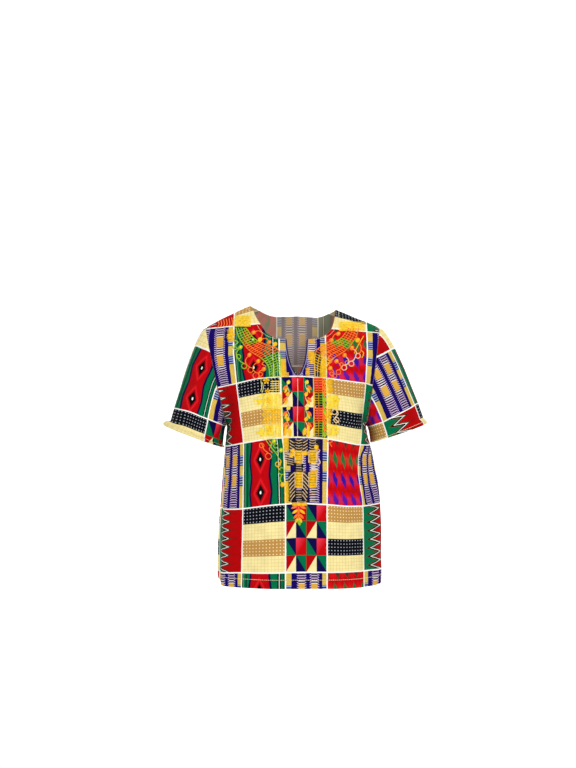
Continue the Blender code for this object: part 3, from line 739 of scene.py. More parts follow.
def zigzag_strip(s, top, wander):
    """Green and red that meet in a white zigzag with black edges and red spikes."""
    tooth_high = 0.01408
    swing = node("Math", "MULTIPLY", top, BLOCK_HIGH / tooth_high)
    swing = node("Math", "PINGPONG", swing, 0.5)
    beyond = node("Math", "SUBTRACT", s, node("Math", "MULTIPLY_ADD", swing, 0.66, 0.25))
    beyond = node("Math", "MULTIPLY_ADD", wander, 0.07, beyond)
    colour = node("ValToRGB", node("Math", "ADD", beyond, 0.5), ramp=[
        (0, GREEN), (.345, "#6E2A1A"), (.385, "#0C0C0C"), (.462, "#E4F0E4"), (.518, "#120F08"),
        (.56, "#6E2A1A"), (.62, RED)])
    spikes = node("Math", "MULTIPLY", node("Math", "COMPARE", beyond, 0.20, 0.09),
                  node("Math", "GREATER_THAN", swing, 0.38))
    return node("MixRGB", node("Math", "MULTIPLY", spikes, 0.4), colour, "#7C1016")


def triangle_squares(s, top):
    """Four squares across and four down, each cut from corner to corner in two colours."""
    across, down = (node("Math", "MULTIPLY", value, 4.0) for value in (s, top))
    fx, fy = (node("Math", "FRACT", value) for value in (across, down))
    odd_column, odd_row = (
        node("Math", "FLOORED_MODULO", node("Math", "FLOOR", value), 2.0)
        for value in (across, down))
    upper_right = node("Math", "GREATER_THAN", fx, fy)
    both = node("Math", "ADD", fx, fy)
    upper_left = node("Math", "LESS_THAN", both, 1.0)
    rosy = node("MixRGB", node("Math", "MULTIPLY", both, 0.9), "#F03C54", "#C2040C")
    high_row = node("MixRGB", odd_column, node("MixRGB", upper_right, GREEN, NAVY), rosy)
    low_row = node("MixRGB", odd_column, node("MixRGB", upper_left, CREAM, RED),
                   node("MixRGB", upper_right, NAVY, GREEN))
    return node("MixRGB", odd_row, high_row, low_row)


def dotted_bands(s, top, is_last):
    """Bands of small woven dots between cream ones, half a block on in the last column.
    The dots are drawn 5.5 mm apart, coarser than they are woven, so that they show."""
    dot_gap = 0.0054
    turn = node("Math", "FRACT", node("Math", "MULTIPLY_ADD", is_last, 0.5, top))
    cell_x, cell_y = (
        away_from(repeated(value, round(size / dot_gap)), 0.5)
        for value, size in ((s, BLOCK_WIDE), (turn, BLOCK_HIGH)))
    dots = node("Math", "MULTIPLY", node("Math", "LESS_THAN", cell_x, 0.16),
                node("Math", "LESS_THAN", cell_y, 0.15))
    wires = node("Math", "GREATER_THAN", node("Math", "MAXIMUM", cell_x, cell_y), 0.40)
    plain = node("MixRGB", node("Math", "MULTIPLY", wires, 0.5), CREAM, "#D9C278")
    dark = node("MixRGB", dots, INK, "#AAB0BA")
    light = node("MixRGB", dots, TAN, "#F6E6B4")
    band = node("Math", "MULTIPLY", turn, 4.0)
    bands = node("MixRGB", node("Math", "LESS_THAN", band, 1.0), plain, dark)
    return node("MixRGB", node("Math", "COMPARE", band, 2.5, 0.5), bands, light)


def printed_cotton(name, fade):
    """Plain-woven cotton with a bright printed patchwork of woven-strip designs: matt,
    slightly mottled, with a fine weave. fade is how much of the ground shows through
    on the reverse."""
    material, shader = new_material(name)
    place = node("UVMap", uv_map="print")
    u, v = (node("SeparateXYZ", place, out=n) for n in (0, 1))
    column = node("Math", "FLOORED_MODULO", node("Math", "FLOOR", u), 4.0)
    odd = node("Math", "FLOORED_MODULO", node("Math", "FLOOR", v), 2.0)
    # the inks' edges wander by up to half a millimetre
    wander = node("TexNoise", place, Scale=BLOCK_WIDE / 0.00794, Detail=2.0)
    wander = node("Math", "SUBTRACT", wander, 0.5)
    s = node("Math", "MULTIPLY_ADD", wander, 0.012, node("Math", "FRACT", u))
    top = node("Math", "SUBTRACT", 1.0, node("Math", "FRACT", v))

    is_first, is_second, is_third, is_last = (
        node("Math", "COMPARE", column, float(n), 0.4) for n in range(4))
    even_row = node("MixRGB", is_first, dotted_bands(s, top, is_last),
                    zigzag_strip(s, top, wander))
    even_row = node("MixRGB", is_third, even_row, triangle_squares(s, top))
    odd_row = node("MixRGB", is_second, ladder_strip(s, top), diamond_strip(s, top))
    odd_row = node("MixRGB", is_last, odd_row, flame_strip(s, top, u, v))
    colour = node("MixRGB", odd, even_row, odd_row)
    line = node("Math", "MAXIMUM",
                node("Math", "GREATER_THAN", away_from(s, 0.5), 0.485),
                node("Math", "GREATER_THAN", away_from(top, 0.5), 0.49))
    colour = node("MixRGB", line, colour, CHALK)

    # uneven take-up of the ink, in patches about 14 mm wide
    blotch = node("TexNoise", place, Scale=BLOCK_WIDE / 0.0143, Detail=5.0, Roughness=0.65)
    shade = node("MapRange", blotch, 0.3, 0.7, 0.90, 1.06)
    colour = node("MixRGB", "MULTIPLY", 1.0, colour, node("CombineColor", shade, shade, shade))
    if fade:
        colour = node("MixRGB", fade, colour, "#EADFC8")

    # warp and weft about 0.8 mm apart, twice as coarse as the real thread so they show,
    # with slubs 1.2 mm wide
    thread_gap = 0.000796
    warp, weft = (
        node("Math", "SINE", node("Math", "MULTIPLY", value, math.tau * round(size / thread_gap)))
        for value, size in ((u, BLOCK_WIDE), (v, BLOCK_HIGH)))
    slub = node("TexNoise", place, Scale=BLOCK_WIDE / 0.00119, Detail=3.0)
    height = node("Math", "MULTIPLY_ADD", slub, 1.5, node("Math", "MULTIPLY", warp, weft))
    set_up(shader, {
        "Base Color": colour,
        "Normal": node("Bump", Height=height, Strength=0.35, Distance=0.00012),
        "Roughness": node("MapRange", blotch, 0.3, 0.7, 0.78, 0.9),
        "Specular IOR Level": 0.05,
        "Sheen Weight": 0.006,
        "Sheen Roughness": 0.5,
    })
    return material


cotton = printed_cotton("printed_cotton", 0.0)
cotton_reverse = printed_cotton("printed_cotton_reverse", 0.38)


def cloth_piece(name, mesh, hem_points):
    """A piece of cloth with its thickness, its doubled hem and its paler reverse."""
    mesh.materials.append(cotton)
    mesh.materials.append(cotton_reverse)
    obj = bpy.data.objects.new(name, mesh)
    bpy.context.scene.collection.objects.link(obj)
    doubled = obj.vertex_groups.new(name="turned_hem")
    doubled.add(hem_points.tolist(), 1.0, "REPLACE")
    wall = obj.modifiers.new("cloth", "SOLIDIFY")
    wall.thickness = HEM_CLOTH
    wall.offset = -1.0
    wall.vertex_group = doubled.name
    wall.thickness_vertex_group = CLOTH / HEM_CLOTH
    wall.material_offset = 1
    rims = obj.modifiers.new("soft_edges", "BEVEL")
    rims.width = CLOTH / 3
    rims.segments = 2
    rims.limit_method = "ANGLE"
    rims.angle_limit = math.radians(55)
    return obj


front = cloth_piece("front_panel", *body_panel("front_panel", True))
back = cloth_piece("back_panel", *body_panel("back_panel", False))
for piece, solid in ((front, "front"), (back, "back")):
    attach(piece, "root")
    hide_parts(solid)

# The sleeves: two short set-in sleeves of the same cotton --------------------------
# Each leaves the armhole's oval seam and ends in a turned cuff held wide and stiff by
# its doubled cloth. The left one is lifted a little further from the body.

SLEEVE_HEM = 0.013
# How far each cuff's rolled hem stands proud
CUFF_ROLL = {"left": 0.0032, "right": 0.0008}
# Where the cuff's outer and inner ends are, half its depth, how steeply the sleeve's top
# leaves the shoulder, in degrees, and how far the stiff hem kicks out
Sleeve = namedtuple("Sleeve", "outer_x outer_z inner_x inner_z half_depth slope kick")
SLEEVES = {
    "left": Sleeve(0.2160, -0.2035, 0.1262, -0.2366, 0.0470, 26, 0.0080),
    "right": Sleeve(0.2140, -0.1980, 0.1226, -0.2290, 0.0470, 12, 0.0030),
}
CUFF_MIDDLE_Y = -0.002
SLEEVE_RADIUS, SLEEVE_LENGTH = 0.055, 0.160
# How strongly the cloth is drawn out of the armhole along its top, its middle and its
# underarm, and on into the cuff above and below
TOP_PULL = 0.072
MIDDLE_PULL = (0.0275, 0.0055, 0.0473)
UNDERARM_PULL = (0.0160, 0.0120)
CUFF_TOP_PULL, CUFF_BOTTOM_PULL = 0.045, 0.020
# The hem kicks out with its whole depth, and above it this fades out by so many depths
KICK_FADED = 1.8
# Folds on a sleeve: across is the distance round it and z the distance from the armhole
SLEEVE_FOLDS = {
    "left": [
        Fold(-0.019, 0.000, 0.010, -0.120, 0.016, -0.0034),
        Fold(-0.046, -0.003, -0.029, -0.136, 0.016, 0.0028),
        Fold(0.008, -0.003, 0.033, -0.128, 0.019, 0.0024),
        Fold(0.188, 0.000, 0.169, -0.128, 0.017, -0.0034),
        Fold(0.213, -0.008, 0.198, -0.144, 0.017, 0.0028),
        Fold(0.144, -0.016, 0.134, -0.144, 0.019, -0.0020),
        Fold(-0.066, -0.020, -0.020, -0.048, 0.007, -0.0014),
        Fold(-0.070, -0.040, -0.034, -0.066, 0.007, 0.0011),
        Fold(-0.074, -0.088, -0.040, -0.106, 0.007, -0.0012),
        Fold(0.014, -0.030, 0.040, -0.060, 0.009, -0.0010),
        Fold(0.232, -0.022, 0.190, -0.052, 0.008, -0.0013),
    ],
    "right": [
        Fold(-0.013, 0.000, -0.025, -0.136, 0.016, -0.0034),
        Fold(0.010, -0.003, 0.004, -0.136, 0.016, 0.0026),
        Fold(0.033, -0.008, 0.038, -0.144, 0.019, -0.0018),
        Fold(0.186, 0.000, 0.173, -0.128, 0.017, -0.0034),
        Fold(0.211, -0.008, 0.200, -0.144, 0.017, 0.0028),
        Fold(0.146, -0.016, 0.138, -0.144, 0.019, -0.0020),
        Fold(-0.066, -0.026, -0.024, -0.044, 0.007, -0.0014),
        Fold(-0.072, -0.052, -0.040, -0.070, 0.007, 0.0011),
        Fold(-0.070, -0.096, -0.036, -0.110, 0.007, -0.0012),
        Fold(0.020, -0.040, 0.044, -0.074, 0.009, -0.0010),
        Fold(0.236, -0.030, 0.194, -0.056, 0.008, -0.0013),
    ],
}
# Where the print lies: angles round the sleeve with their place among the columns, how
# far row line 3 is above the cuff's edge inside and outside, how much higher row line 4
# lies on the outside than 100 mm above that, and how far the columns have turned (in
# degrees) at the cuff in front and outside
Print = namedtuple("Print", "angles columns above_cuff outer_rise turned")
SLEEVE_PRINT = {
    "left": Print((-90, -11, 30, 51, 78, 180, 270), (3.0, 2.0, 1.43, 1.205, 1.0, -0.2, -1.2),
                  (0.041, 0.041), 0.010, (9, -14)),
    "right": Print((-90, -25, 59, 270), (-0.75, 0.0, 1.0, 3.4), (0.028, 0.038), 0.0, (0, 0)),
}
SLEEVE_BLOCK_HIGH = 0.100
# The angles where the sleeve's outside begins, is full and ends
OUTSIDE_ANGLES = (-25, 65, 115, 205)
# The angles between which the columns turn, and how far up from the cuff they do
TURNED_ANGLES, TURNED_LENGTH = (30, 92), 0.1
# How far the sleeve's head squeezes the rows above line 4
HEAD_SQUEEZE = 0.55
# Rows of points on the hem, by its depth, then evenly to the armhole, and columns round
CUFF_ROWS = (0, 0.1, 0.3, 0.5, 0.7, 0.85, 0.95, 1.0, 1.1)
SLEEVE_ROWS, SLEEVE_COLUMNS = 52, 145
SLEEVE_PUCKER_RADIANS = 0.60


def sleeve_points(side, angle, share):
    """The sleeve's surface: angle goes round the armhole, share runs to the cuff."""
    sleeve, sign = SLEEVES[side], SIGN[side]
    outer = np.array([sign * sleeve.outer_x, CUFF_MIDDLE_Y, sleeve.outer_z])
    inner = np.array([sign * sleeve.inner_x, CUFF_MIDDLE_Y, sleeve.inner_z])
    up_cuff = (outer - inner) / 2
    down = unit(np.array([sign * up_cuff[2], 0, -abs(up_cuff[0])]))
    rise, reach = (f(np.radians(angle))[:, None] for f in (np.sin, np.cos))
    share = share[:, None]
    start = armhole(side, angle)
    end = (outer + inner) / 2 + up_cuff * rise
    end = end - np.array([0, sleeve.half_depth, 0]) * reach
    slope = math.radians(sleeve.slope)
    top = np.array([sign * math.cos(slope), 0, -math.sin(slope)]) * TOP_PULL
    middle = np.array([sign * MIDDLE_PULL[0], 0, -MIDDLE_PULL[2]])
    middle = middle - reach * np.array([0, MIDDLE_PULL[1], 0])
    bottom = np.array([sign * UNDERARM_PULL[0], 0, -UNDERARM_PULL[1]])
    leaving = middle * reach**2 + np.where(rise > 0, top, bottom) * rise**2
    arriving = down * (CUFF_BOTTOM_PULL + (CUFF_TOP_PULL - CUFF_BOTTOM_PULL) * (rise + 1) / 2)
    point = curve_between(start, leaving, end, arriving, share)
    length = np.linalg.norm(end - start, axis=-1)[:, None]
    hems_left = (1 - share) * length / SLEEVE_HEM
    kick = np.clip((KICK_FADED - hems_left) / (KICK_FADED - 1), 0, 1) ** 1.5 * sleeve.kick
    return point + unit(up_cuff) * kick * np.maximum(0, rise) ** 2


def sleeve_print(side, angles, length):
    """Where the print lies on a sleeve. length is the distance up from the cuff."""
    printed = SLEEVE_PRINT[side]
    outside = np.interp(angles, OUTSIDE_ANGLES, [0, 1, 1, 0])
    above_cuff = np.interp(outside, [0, 1], printed.above_cuff)
    high = SLEEVE_BLOCK_HIGH + printed.outer_rise * outside
    row = 3 + (length - above_cuff) / np.where(length > above_cuff, high, SLEEVE_BLOCK_HIGH)
    row = np.where(row > 4, 4 + (row - 4) * HEAD_SQUEEZE, row)
    turned = np.interp(angles, TURNED_ANGLES, printed.turned)
    turned = turned * np.clip(1 - length / TURNED_LENGTH, 0, 1)
    column = np.interp(angles + turned, printed.angles, printed.columns)
    return np.stack([column, row], axis=-1).reshape(-1, 2)


def sleeve_mesh(name, side):
    """(mesh, the hem's points) of a sleeve, joined along its underarm."""
    hem_from = sleeve_points(side, np.array([0.0, 0.0]), np.array([1.0, 0.0]))
    hem = SLEEVE_HEM / np.linalg.norm(hem_from[0] - hem_from[1])
    shares = 1 - hem * np.array(CUFF_ROWS)
    shares = np.concatenate([shares, np.linspace(1 - 1.3 * hem, 0, SLEEVE_ROWS)])
    angles = np.linspace(-90, 270, SLEEVE_COLUMNS)
    at_angle, at_share = (a.ravel() for a in np.meshgrid(angles, shares))
    here = sleeve_points(side, at_angle, at_share)
    step = np.where(at_share > 0.5, -SMALL_STEP, SMALL_STEP)
    by_angle = sleeve_points(side, at_angle + 0.1, at_share) - here
    by_share = sleeve_points(side, at_angle, at_share + step) - here
    outward = unit(np.cross(by_share, by_angle) * (SIGN[side] * step)[:, None])
    around, from_seam = np.radians(at_angle) * SLEEVE_RADIUS, at_share * SLEEVE_LENGTH
    girth = 2 * math.pi * SLEEVE_RADIUS
    folds = SLEEVE_FOLDS[side]
    lift = sum(fold_lift(folds, around + turn * girth, -from_seam) for turn in (-1, 0, 1))
    lift += unevenness(around, from_seam) * np.sin(np.radians(at_angle + 90) / 2)
    in_hem = np.clip((1 - at_share) / hem, 0, 1)
    lift += CUFF_ROLL[side] * np.sin(np.pi * in_hem) ** 0.6
    lift -= SEAM_SINK * np.exp(-((from_seam / SINK_REACH) ** 2))
    pucker = PUCKER * np.sin(at_angle * SLEEVE_PUCKER_RADIANS) * (at_share > 0)
    lift += pucker * np.exp(-((from_seam / PUCKER_REACH) ** 2))
    points = (here + outward * lift[:, None]).reshape(len(shares), len(angles), 3)
    points[-1] += unit(points[-2] - points[-1]) * SEAM_GAP / 2
    prints = sleeve_print(side, angles, distance_along(points))
    faces = grid_faces(len(shares), len(angles), flip=side == "left")
    sewn_to = np.arange(len(prints))
    last = np.arange(1, len(shares) + 1) * len(angles) - 1
    sewn_to[last] = last - len(angles) + 1
    mesh, kept = cloth_mesh(name, points.reshape(-1, 3), prints, faces, sewn_to)
    hem_rows = CUFF_ROWS.index(1.0) + 1
    return mesh, np.flatnonzero(kept < hem_rows * len(angles))


sleeves = {}
for side in ("left", "right"):
    name = f"sleeve_{side}_cloth"
    sleeves[side] = cloth_piece(name, *sleeve_mesh(name, side))
    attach(sleeves[side], "root")
    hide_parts(f"sleeve_{side}")

# The embroidery: machine stitching in shiny thread on the front panel ---------------
# Cords, satin-stitched berries, petals and leaves, open nets and washes of long
# stitches round the neck and down the middle. Each stitch is a low rounded strip.

# Places are in mm: across from the middle of the neck, then height from the frame's zero
NECK_AXIS_X = -0.0005
THREADS = {
    "lemon": "#FFDE34", "gold": "#FCC414", "orange": "#FF7A22", "lime": "#9AC81E",
    "straw": "#F6EC98", "cream": "#F2CFA0", "lilac": "#9C94CC", "navy": "#1A0A3C",
    "black": "#060408",
}
TOPSTITCH = {"ecru": "#E2D2A8"}
# A strip of thread from side to side, and how high it stands at each point
STRIP = np.array([(-1, -.4), (-.8, .55), (-.3, 1), (.3, 1), (.8, .55), (1, -.4)])
sewn = {colour: ([], [], []) for colour in THREADS | TOPSTITCH}
# the small differences from stitch to stitch
chance = np.random.default_rng(4)


def surface_of(piece):
    return BVHTree.FromPolygons([v.co for v in piece.data.vertices],
                                [p.vertices for p in piece.data.polygons])


front_surface = surface_of(front)


def sew(colour, points, normals, half_widths, rise):
    """One strip of thread along the points, half_widths to each side of them."""
    side = unit(np.cross(normals, np.gradient(points, axis=0)))
    rises = rise * (half_widths / half_widths.max()) ** 0.5
    across = half_widths[:, None] * STRIP[:, 0]
    body = points[:, None] + side[:, None] * across[..., None]
    body = body + normals[:, None] * (rises[:, None] * STRIP[:, 1])[..., None]
    all_points, all_faces, all_places = sewn[colour]
    first, count, n = sum(len(p) for p in all_points), len(STRIP), len(points)
    at = first + np.arange(n * count).reshape(n, count)
    after = np.roll(at, -1, axis=1)
    quads = np.stack([at[:-1], at[1:], after[1:], after[:-1]], axis=-1).reshape(-1, 4)
    all_points.append(body.reshape(-1, 3))
    all_faces.extend(quads.tolist() + [at[0].tolist(), at[-1, ::-1].tolist()])
    along = distance_along(points)[:, None] + 0 * across
    all_places.append(np.stack([along, across], axis=-1).reshape(-1, 2))


def smooth_line(corners, step=1.3):
    """Points about step mm apart on a smooth curve through the corners."""
    corners = np.array(corners, float)
    line = np.vstack([2 * corners[0] - corners[1], corners, 2 * corners[-1] - corners[-2]])
    made = []
    for a, b, c, d in zip(line, line[1:], line[2:], line[3:]):
        t = np.arange(0, 1, step / max(np.linalg.norm(c - b), step))[:, None]
        made.append(0.5 * (2 * b + (c - a) * t + (2 * a - 5 * b + 4 * c - d) * t**2
                           + (3 * b - a - 3 * c + d) * t**3))
    return np.vstack([*made, corners[-1:]])


def stitch(colour, line, half_widths, rise):
    """Lays a strip of thread on the front panel, its line and widths in mm."""
    points, normals, kept = [], [], []
    for n, (x, z) in enumerate(line):
        in_front = Vector((NECK_AXIS_X + x / 1000, -0.3, z / 1000))
        hit, normal, _, _ = front_surface.ray_cast(in_front, Vector((0, 1, 0)))
        if hit:
            points.append(hit)
            normals.append(normal if normal.y < 0 else -normal)
            kept.append(n)
    if len(kept) > 1:
        widths = np.broadcast_to(half_widths, len(line))[kept] / 1000
        sew(colour, np.array(points), np.array(normals), widths, rise / 1000)


def cord(colour, corners, width=1.8):
    """A laid cord along a smooth curve, drawn in at its two ends."""
    line = smooth_line(corners)
    half = np.full(len(line), width / 2)
    half[[0, -1]] *= 0.35
    stitch(colour, line, half, 0.55)


def leaf(colour, start, end, width):
    """A satin-stitched leaf or petal, pointed at both ends."""
    t = np.linspace(0, 1, 8)[:, None]
    half = width / 2 * np.sin(np.pi * (0.04 + 0.92 * t[:, 0])) ** 0.8
    stitch(colour, np.array(start) * (1 - t) + np.array(end) * t, half, 0.8)


def berry(colour, x, z, size):
    """A satin-stitched oval. A small one stands higher, as it lies on a large one."""
    t = np.linspace(-0.97, 0.97, 8)
    line = np.stack([x + 0.3 * t * size, z + 0.42 * t * size], axis=-1)
    stitch(colour, line, size / 2 * np.sqrt(1 - t**2), 1.0 if size > 5 else 1.5)


def ring(colour, x, z, radius):
    turn = np.linspace(0, 2 * np.pi, 17)
    circle = np.stack([x + radius * np.cos(turn), z + radius * np.sin(turn)], axis=-1)
    stitch(colour, circle, 0.8, 0.5)


def wash(colour, left, right, low, high, ragged, gap=1.6, width=1.5):
    """Long level stitches side by side, with uneven ends and the cloth between them."""
    phase = chance.uniform(0, 6.0)
    for z in np.arange(low, high, gap):
        swell = ragged * (0.5 + 0.5 * math.sin(z * 0.55 + phase) + chance.uniform(-0.2, 0.2))
        a, b = left - swell, right + min(ragged, 0.8) * chance.uniform(0, 1)
        tilt = chance.uniform(-0.4, 0.4)
        line = np.linspace((a, z - tilt), (b, z + tilt), max(3, int((b - a) / 3)))
        stitch(colour, line, width / 2 * chance.uniform(0.8, 1.15), 0.5)


def net(colours, inner, outer, gap, lean, threads):
    """Slanted stitches across a band, with threads along it. colours are pairs of how
    far along the band each colour goes and its name."""
    sides = []
    for corners in (inner, outer):
        line = smooth_line(corners)
        gone = distance_along(line)
        sides.append((line, gone / gone[-1], gone[-1]))

    def spot(along, share):
        ends = [[np.interp(along, gone, line[:, axis]) for axis in (0, 1)]
                for line, gone, _ in sides]
        return np.array(ends[0]) * (1 - share) + np.array(ends[1]) * share

    def colour_at(along):
        return next(name for reach, name in colours if along <= reach)

    long = (sides[0][2] + sides[1][2]) / 2
    for along in np.arange(0, 1 - lean, gap / long):
        line = np.array([spot(along + lean * share, share) for share in np.linspace(0, 1, 8)])
        stitch(colour_at(along + lean / 2), line, 0.75, 0.55)
    for share in np.linspace(0, 1, threads + 2):
        start = 0.0
        for reach, name in colours:
            steps = max(3, int((reach - start) * long / 1.6))
            line = np.array([spot(a, share) for a in np.linspace(start, reach, steps)])
            stitch(name, line, 0.7 if 0 < share < 1 else 0.95, 0.75)
            start = reach


# The net band follows the neck at each side and runs down beside the slit
NECK_BAND_INNER = [
    (-85.5, -38), (-71, -56), (-53, -65.5), (-35, -72), (-28.5, -85.5), (-28.5, -119.5)]
NECK_BAND_OUTER = [
    (-102, -38), (-95.5, -56), (-79, -75.5), (-59.5, -88.5), (-48, -101.5), (-45, -119.5)]
# Berries: colour, place. Rings and flowers: colour, place and size. Tendrils: colour and
# corners. Washes: colour, left, right, low and high, and how ragged their ends are
BERRIES = [
    ("orange", -72.5, -46), ("gold", -61.5, -57.5), ("orange", -46.5, -62.5),
    ("lime", -94, -70.5), ("orange", -79, -83), ("orange", -64.5, -93.5),
    ("orange", -55, -106.5), ("gold", -37, -65.5), ("orange", 67.5, -48), ("orange", 56, -59),
    ("gold", 99.5, -58.5), ("orange", 89.5, -71.5), ("orange", 77.5, -83.5),
    ("orange", 64, -93.5), ("orange", 53.5, -105), ("lime", -38.5, -224),
    ("lime", -27, -238.5), ("gold", -24.5, -294.5), ("gold", 30.5, -233.5),
]
RINGS = [
    ("lime", -87.5, -101.5, 4.2), ("orange", -77, -108, 4.2), ("orange", -68, -117, 4.9),
    ("cream", 99.5, -84.5, 4.1), ("cream", 88.5, -97.5, 4.2), ("cream", 76.5, -104, 4.2),
    ("orange", 67, -111.5, 3.9), ("orange", -58.5, -231, 3.7), ("orange", -47.5, -248.5, 4.9),
    ("gold", -32, -261.5, 3.9), ("lime", -25.5, -272.5, 5.5), ("cream", 60, -176.5, 4.2),
    ("cream", 63.5, -189.5, 4.2), ("cream", 57.5, -201, 3.6), ("orange", 61, -117.5, 3.1),
    ("orange", 81.5, -96, 3.2), ("orange", 55.5, -114, 2.9), ("orange", -60.5, -115, 3.2),
    ("lime", -97, -86, 3.6), ("orange", 72, -99, 3.0), ("lime", -35.5, -231.5, 3.4),
]
TENDRILS = [
    ("lime", [(-94, -70.5), (-100.5, -80.5), (-95.5, -92), (-87.5, -97.5)]),
    ("orange", [(-79, -83), (-85.5, -92), (-82.5, -100), (-77, -104)]),
    ("orange", [(-64.5, -93.5), (-72.5, -101.5), (-72.5, -108), (-68, -112)]),
    ("orange", [(-55, -106.5), (-63, -111.5), (-61.5, -121)]),
    ("orange", [(-72.5, -46), (-64.5, -43), (-58, -48), (-61.5, -57.5)]),
    ("orange", [(-61.5, -57.5), (-51.5, -56), (-46.5, -62.5)]),
    ("lime", [(-94, -70.5), (-103.5, -74), (-107, -67.5)]),
    ("orange", [(67.5, -48), (61, -49.5), (56, -59)]),
    ("orange", [(56, -59), (48, -64), (46.5, -72)]),
    ("orange", [(88.5, -44.5), (97, -48), (99.5, -58.5), (105, -69), (103.5, -78.5),
                (99.5, -80.5)]),
    ("cream", [(89.5, -71.5), (97, -78.5), (93.5, -90), (88.5, -93.5)]),
    ("cream", [(77.5, -83.5), (84, -92), (81.5, -98.5), (76.5, -100)]),
    ("orange", [(64, -93.5), (70.5, -100), (70.5, -105.5), (67, -108)]),
    ("orange", [(53.5, -105), (59.5, -111.5), (56, -121)]),
    ("gold", [(110, -51), (100, -67.5), (93.5, -80.5)]),
    ("lime", [(-51.5, -222), (-43.5, -233.5), (-35, -243.5), (-30.5, -251.5)]),
    ("lime", [(-38.5, -224), (-45, -232)]), ("lime", [(-27, -238.5), (-35, -241.5)]),
    ("orange", [(-58.5, -227.5), (-55, -237), (-47.5, -243.5)]),
    ("gold", [(-30.5, -251.5), (-27, -258), (-32, -264.5), (-28.5, -271)]),
    ("lime", [(-25.5, -277.5), (-28.5, -286), (-24.5, -294.5)]),
    ("cream", [(36.5, -238.5), (31.5, -246.5), (36.5, -258), (32.5, -263)]),
    ("orange", [(30.5, -233.5), (36.5, -238.5)]),
    ("orange", [(46.5, -222), (52, -227), (56, -233.5)]),
    ("orange", [(52, -227), (57.5, -224)]),
    ("cream", [(54.5, -170), (62.5, -171.5), (66, -180), (61, -186.5), (67.5, -194.5)]),
    ("orange", [(49, -76), (55, -82), (50, -88), (56, -94), (51, -99), (55, -104)]),
    ("orange", [(-52, -92), (-58, -98), (-52, -102), (-57, -109)]),
    ("lime", [(-105, -58), (-98, -62), (-104, -68), (-96, -74)]),
    ("gold", [(104, -74), (109, -80), (106, -88)]),
    ("orange", [(-47.5, -222), (-42, -229), (-46, -237), (-41, -243)]),
]
WASHES = [
    ("gold", -115, -105, -61, -41.5, 2), ("lemon", -104, -77.5, -35, -17, 3),
    ("gold", -28.5, -19.5, -119, -93.5, 0.4), ("gold", -20, -14.5, -119, -112, 0.4),
    ("gold", 20, 26.5, -96.5, -78.5, 0.8), ("gold", 38, 46.5, -85.5, -64.5, 0.8),
    ("gold", 38, 46.5, -119.5, -86.5, 0.6), ("gold", 13.5, 19.5, -118, -105, 0.8),
    ("lemon", 70.5, 111.5, -42, -27, 3), ("black", 28, 38, -119, -76, 0.6),
    ("lemon", -57, -27, -172, -147, 2.5), ("gold", -55, -27, -196, -173.5, 4),
    ("lemon", -54, -27, -215.5, -197.5, 2.5),
    ("gold", 46.5, 57.5, -145.5, -124.5, 1.4), ("lemon", 48, 66, -171.5, -147.5, 2.4),
    ("gold", 46.5, 54, -196, -173.5, 1.4), ("lemon", 48, 64, -215.5, -197.5, 2),
    ("gold", -22, -15, -241.5, -219, 0.5), ("gold", -21.5, -14, -323, -290.5, 0.5),
]
FLOWERS = [
    ("gold", -48, -158, 6.0), ("gold", -46, -204, 6.0), ("gold", -51, -126, 6.0),
    ("gold", -48.5, -142.5, 5.0), ("lemon", 62, -158, 8.5), ("gold", 50.5, -181.5, 7.0),
    ("lemon", 62, -206, 8.0), ("gold", -110, -51, 7.5), ("gold", 92, -35, 9.0),
    ("gold", -90.5, -27, 8.5), ("gold", 77, -38, 6.5), ("gold", -8, -244.5, 5.4),
    ("gold", 13.5, -243, 4.4),
]

for mirror, colours in (
    (1, [(0.31, "lime"), (0.64, "orange"), (1, "lime")]),
    (-1, [(0.2, "orange"), (0.38, "lime"), (0.66, "orange"), (1, "gold")]),
):
    inner, outer = (
        [(x * mirror, z) for x, z in edge] for edge in (NECK_BAND_INNER, NECK_BAND_OUTER))
    net(colours, inner, outer, 4.2, 0.07, threads=3)
for colour, *box in WASHES:
    wash(colour, *box)
wash("gold", -103, -80, -34, -18, 3, gap=3.1)
wash("gold", 71, 111, -41, -28, 3, gap=3.1)
for n in range(6):
    x = -133 + 4.6 * n
    cord("orange", [(x, -37 + 0.6 * n), (x + 2.2, -31), (x + 0.4, -25 + n)], 1.9)
for n in range(3):
    cord("black", [(-121, -46 - 5.5 * n), (-115.5, -44 - 5.5 * n)], 2.4)
for colour, x, z, size in FLOWERS:
    for turn in np.radians(np.arange(5) * 72 + 90):
        out = np.array((np.cos(turn), np.sin(turn))) * size
        leaf(colour, np.array((x, z)) + out * 0.2, np.array((x, z)) + out, size * 0.62)
    berry("gold", x, z, size * 0.4)
for colour, corners in TENDRILS:
    cord(colour, corners)
for colour, *place in RINGS:
    ring(colour, *place)
for colour, x, z in BERRIES:
    berry(colour, x, z, 8.0)
    berry("lemon" if colour == "lime" else "gold", x + 0.4, z + 0.4, 4.4)

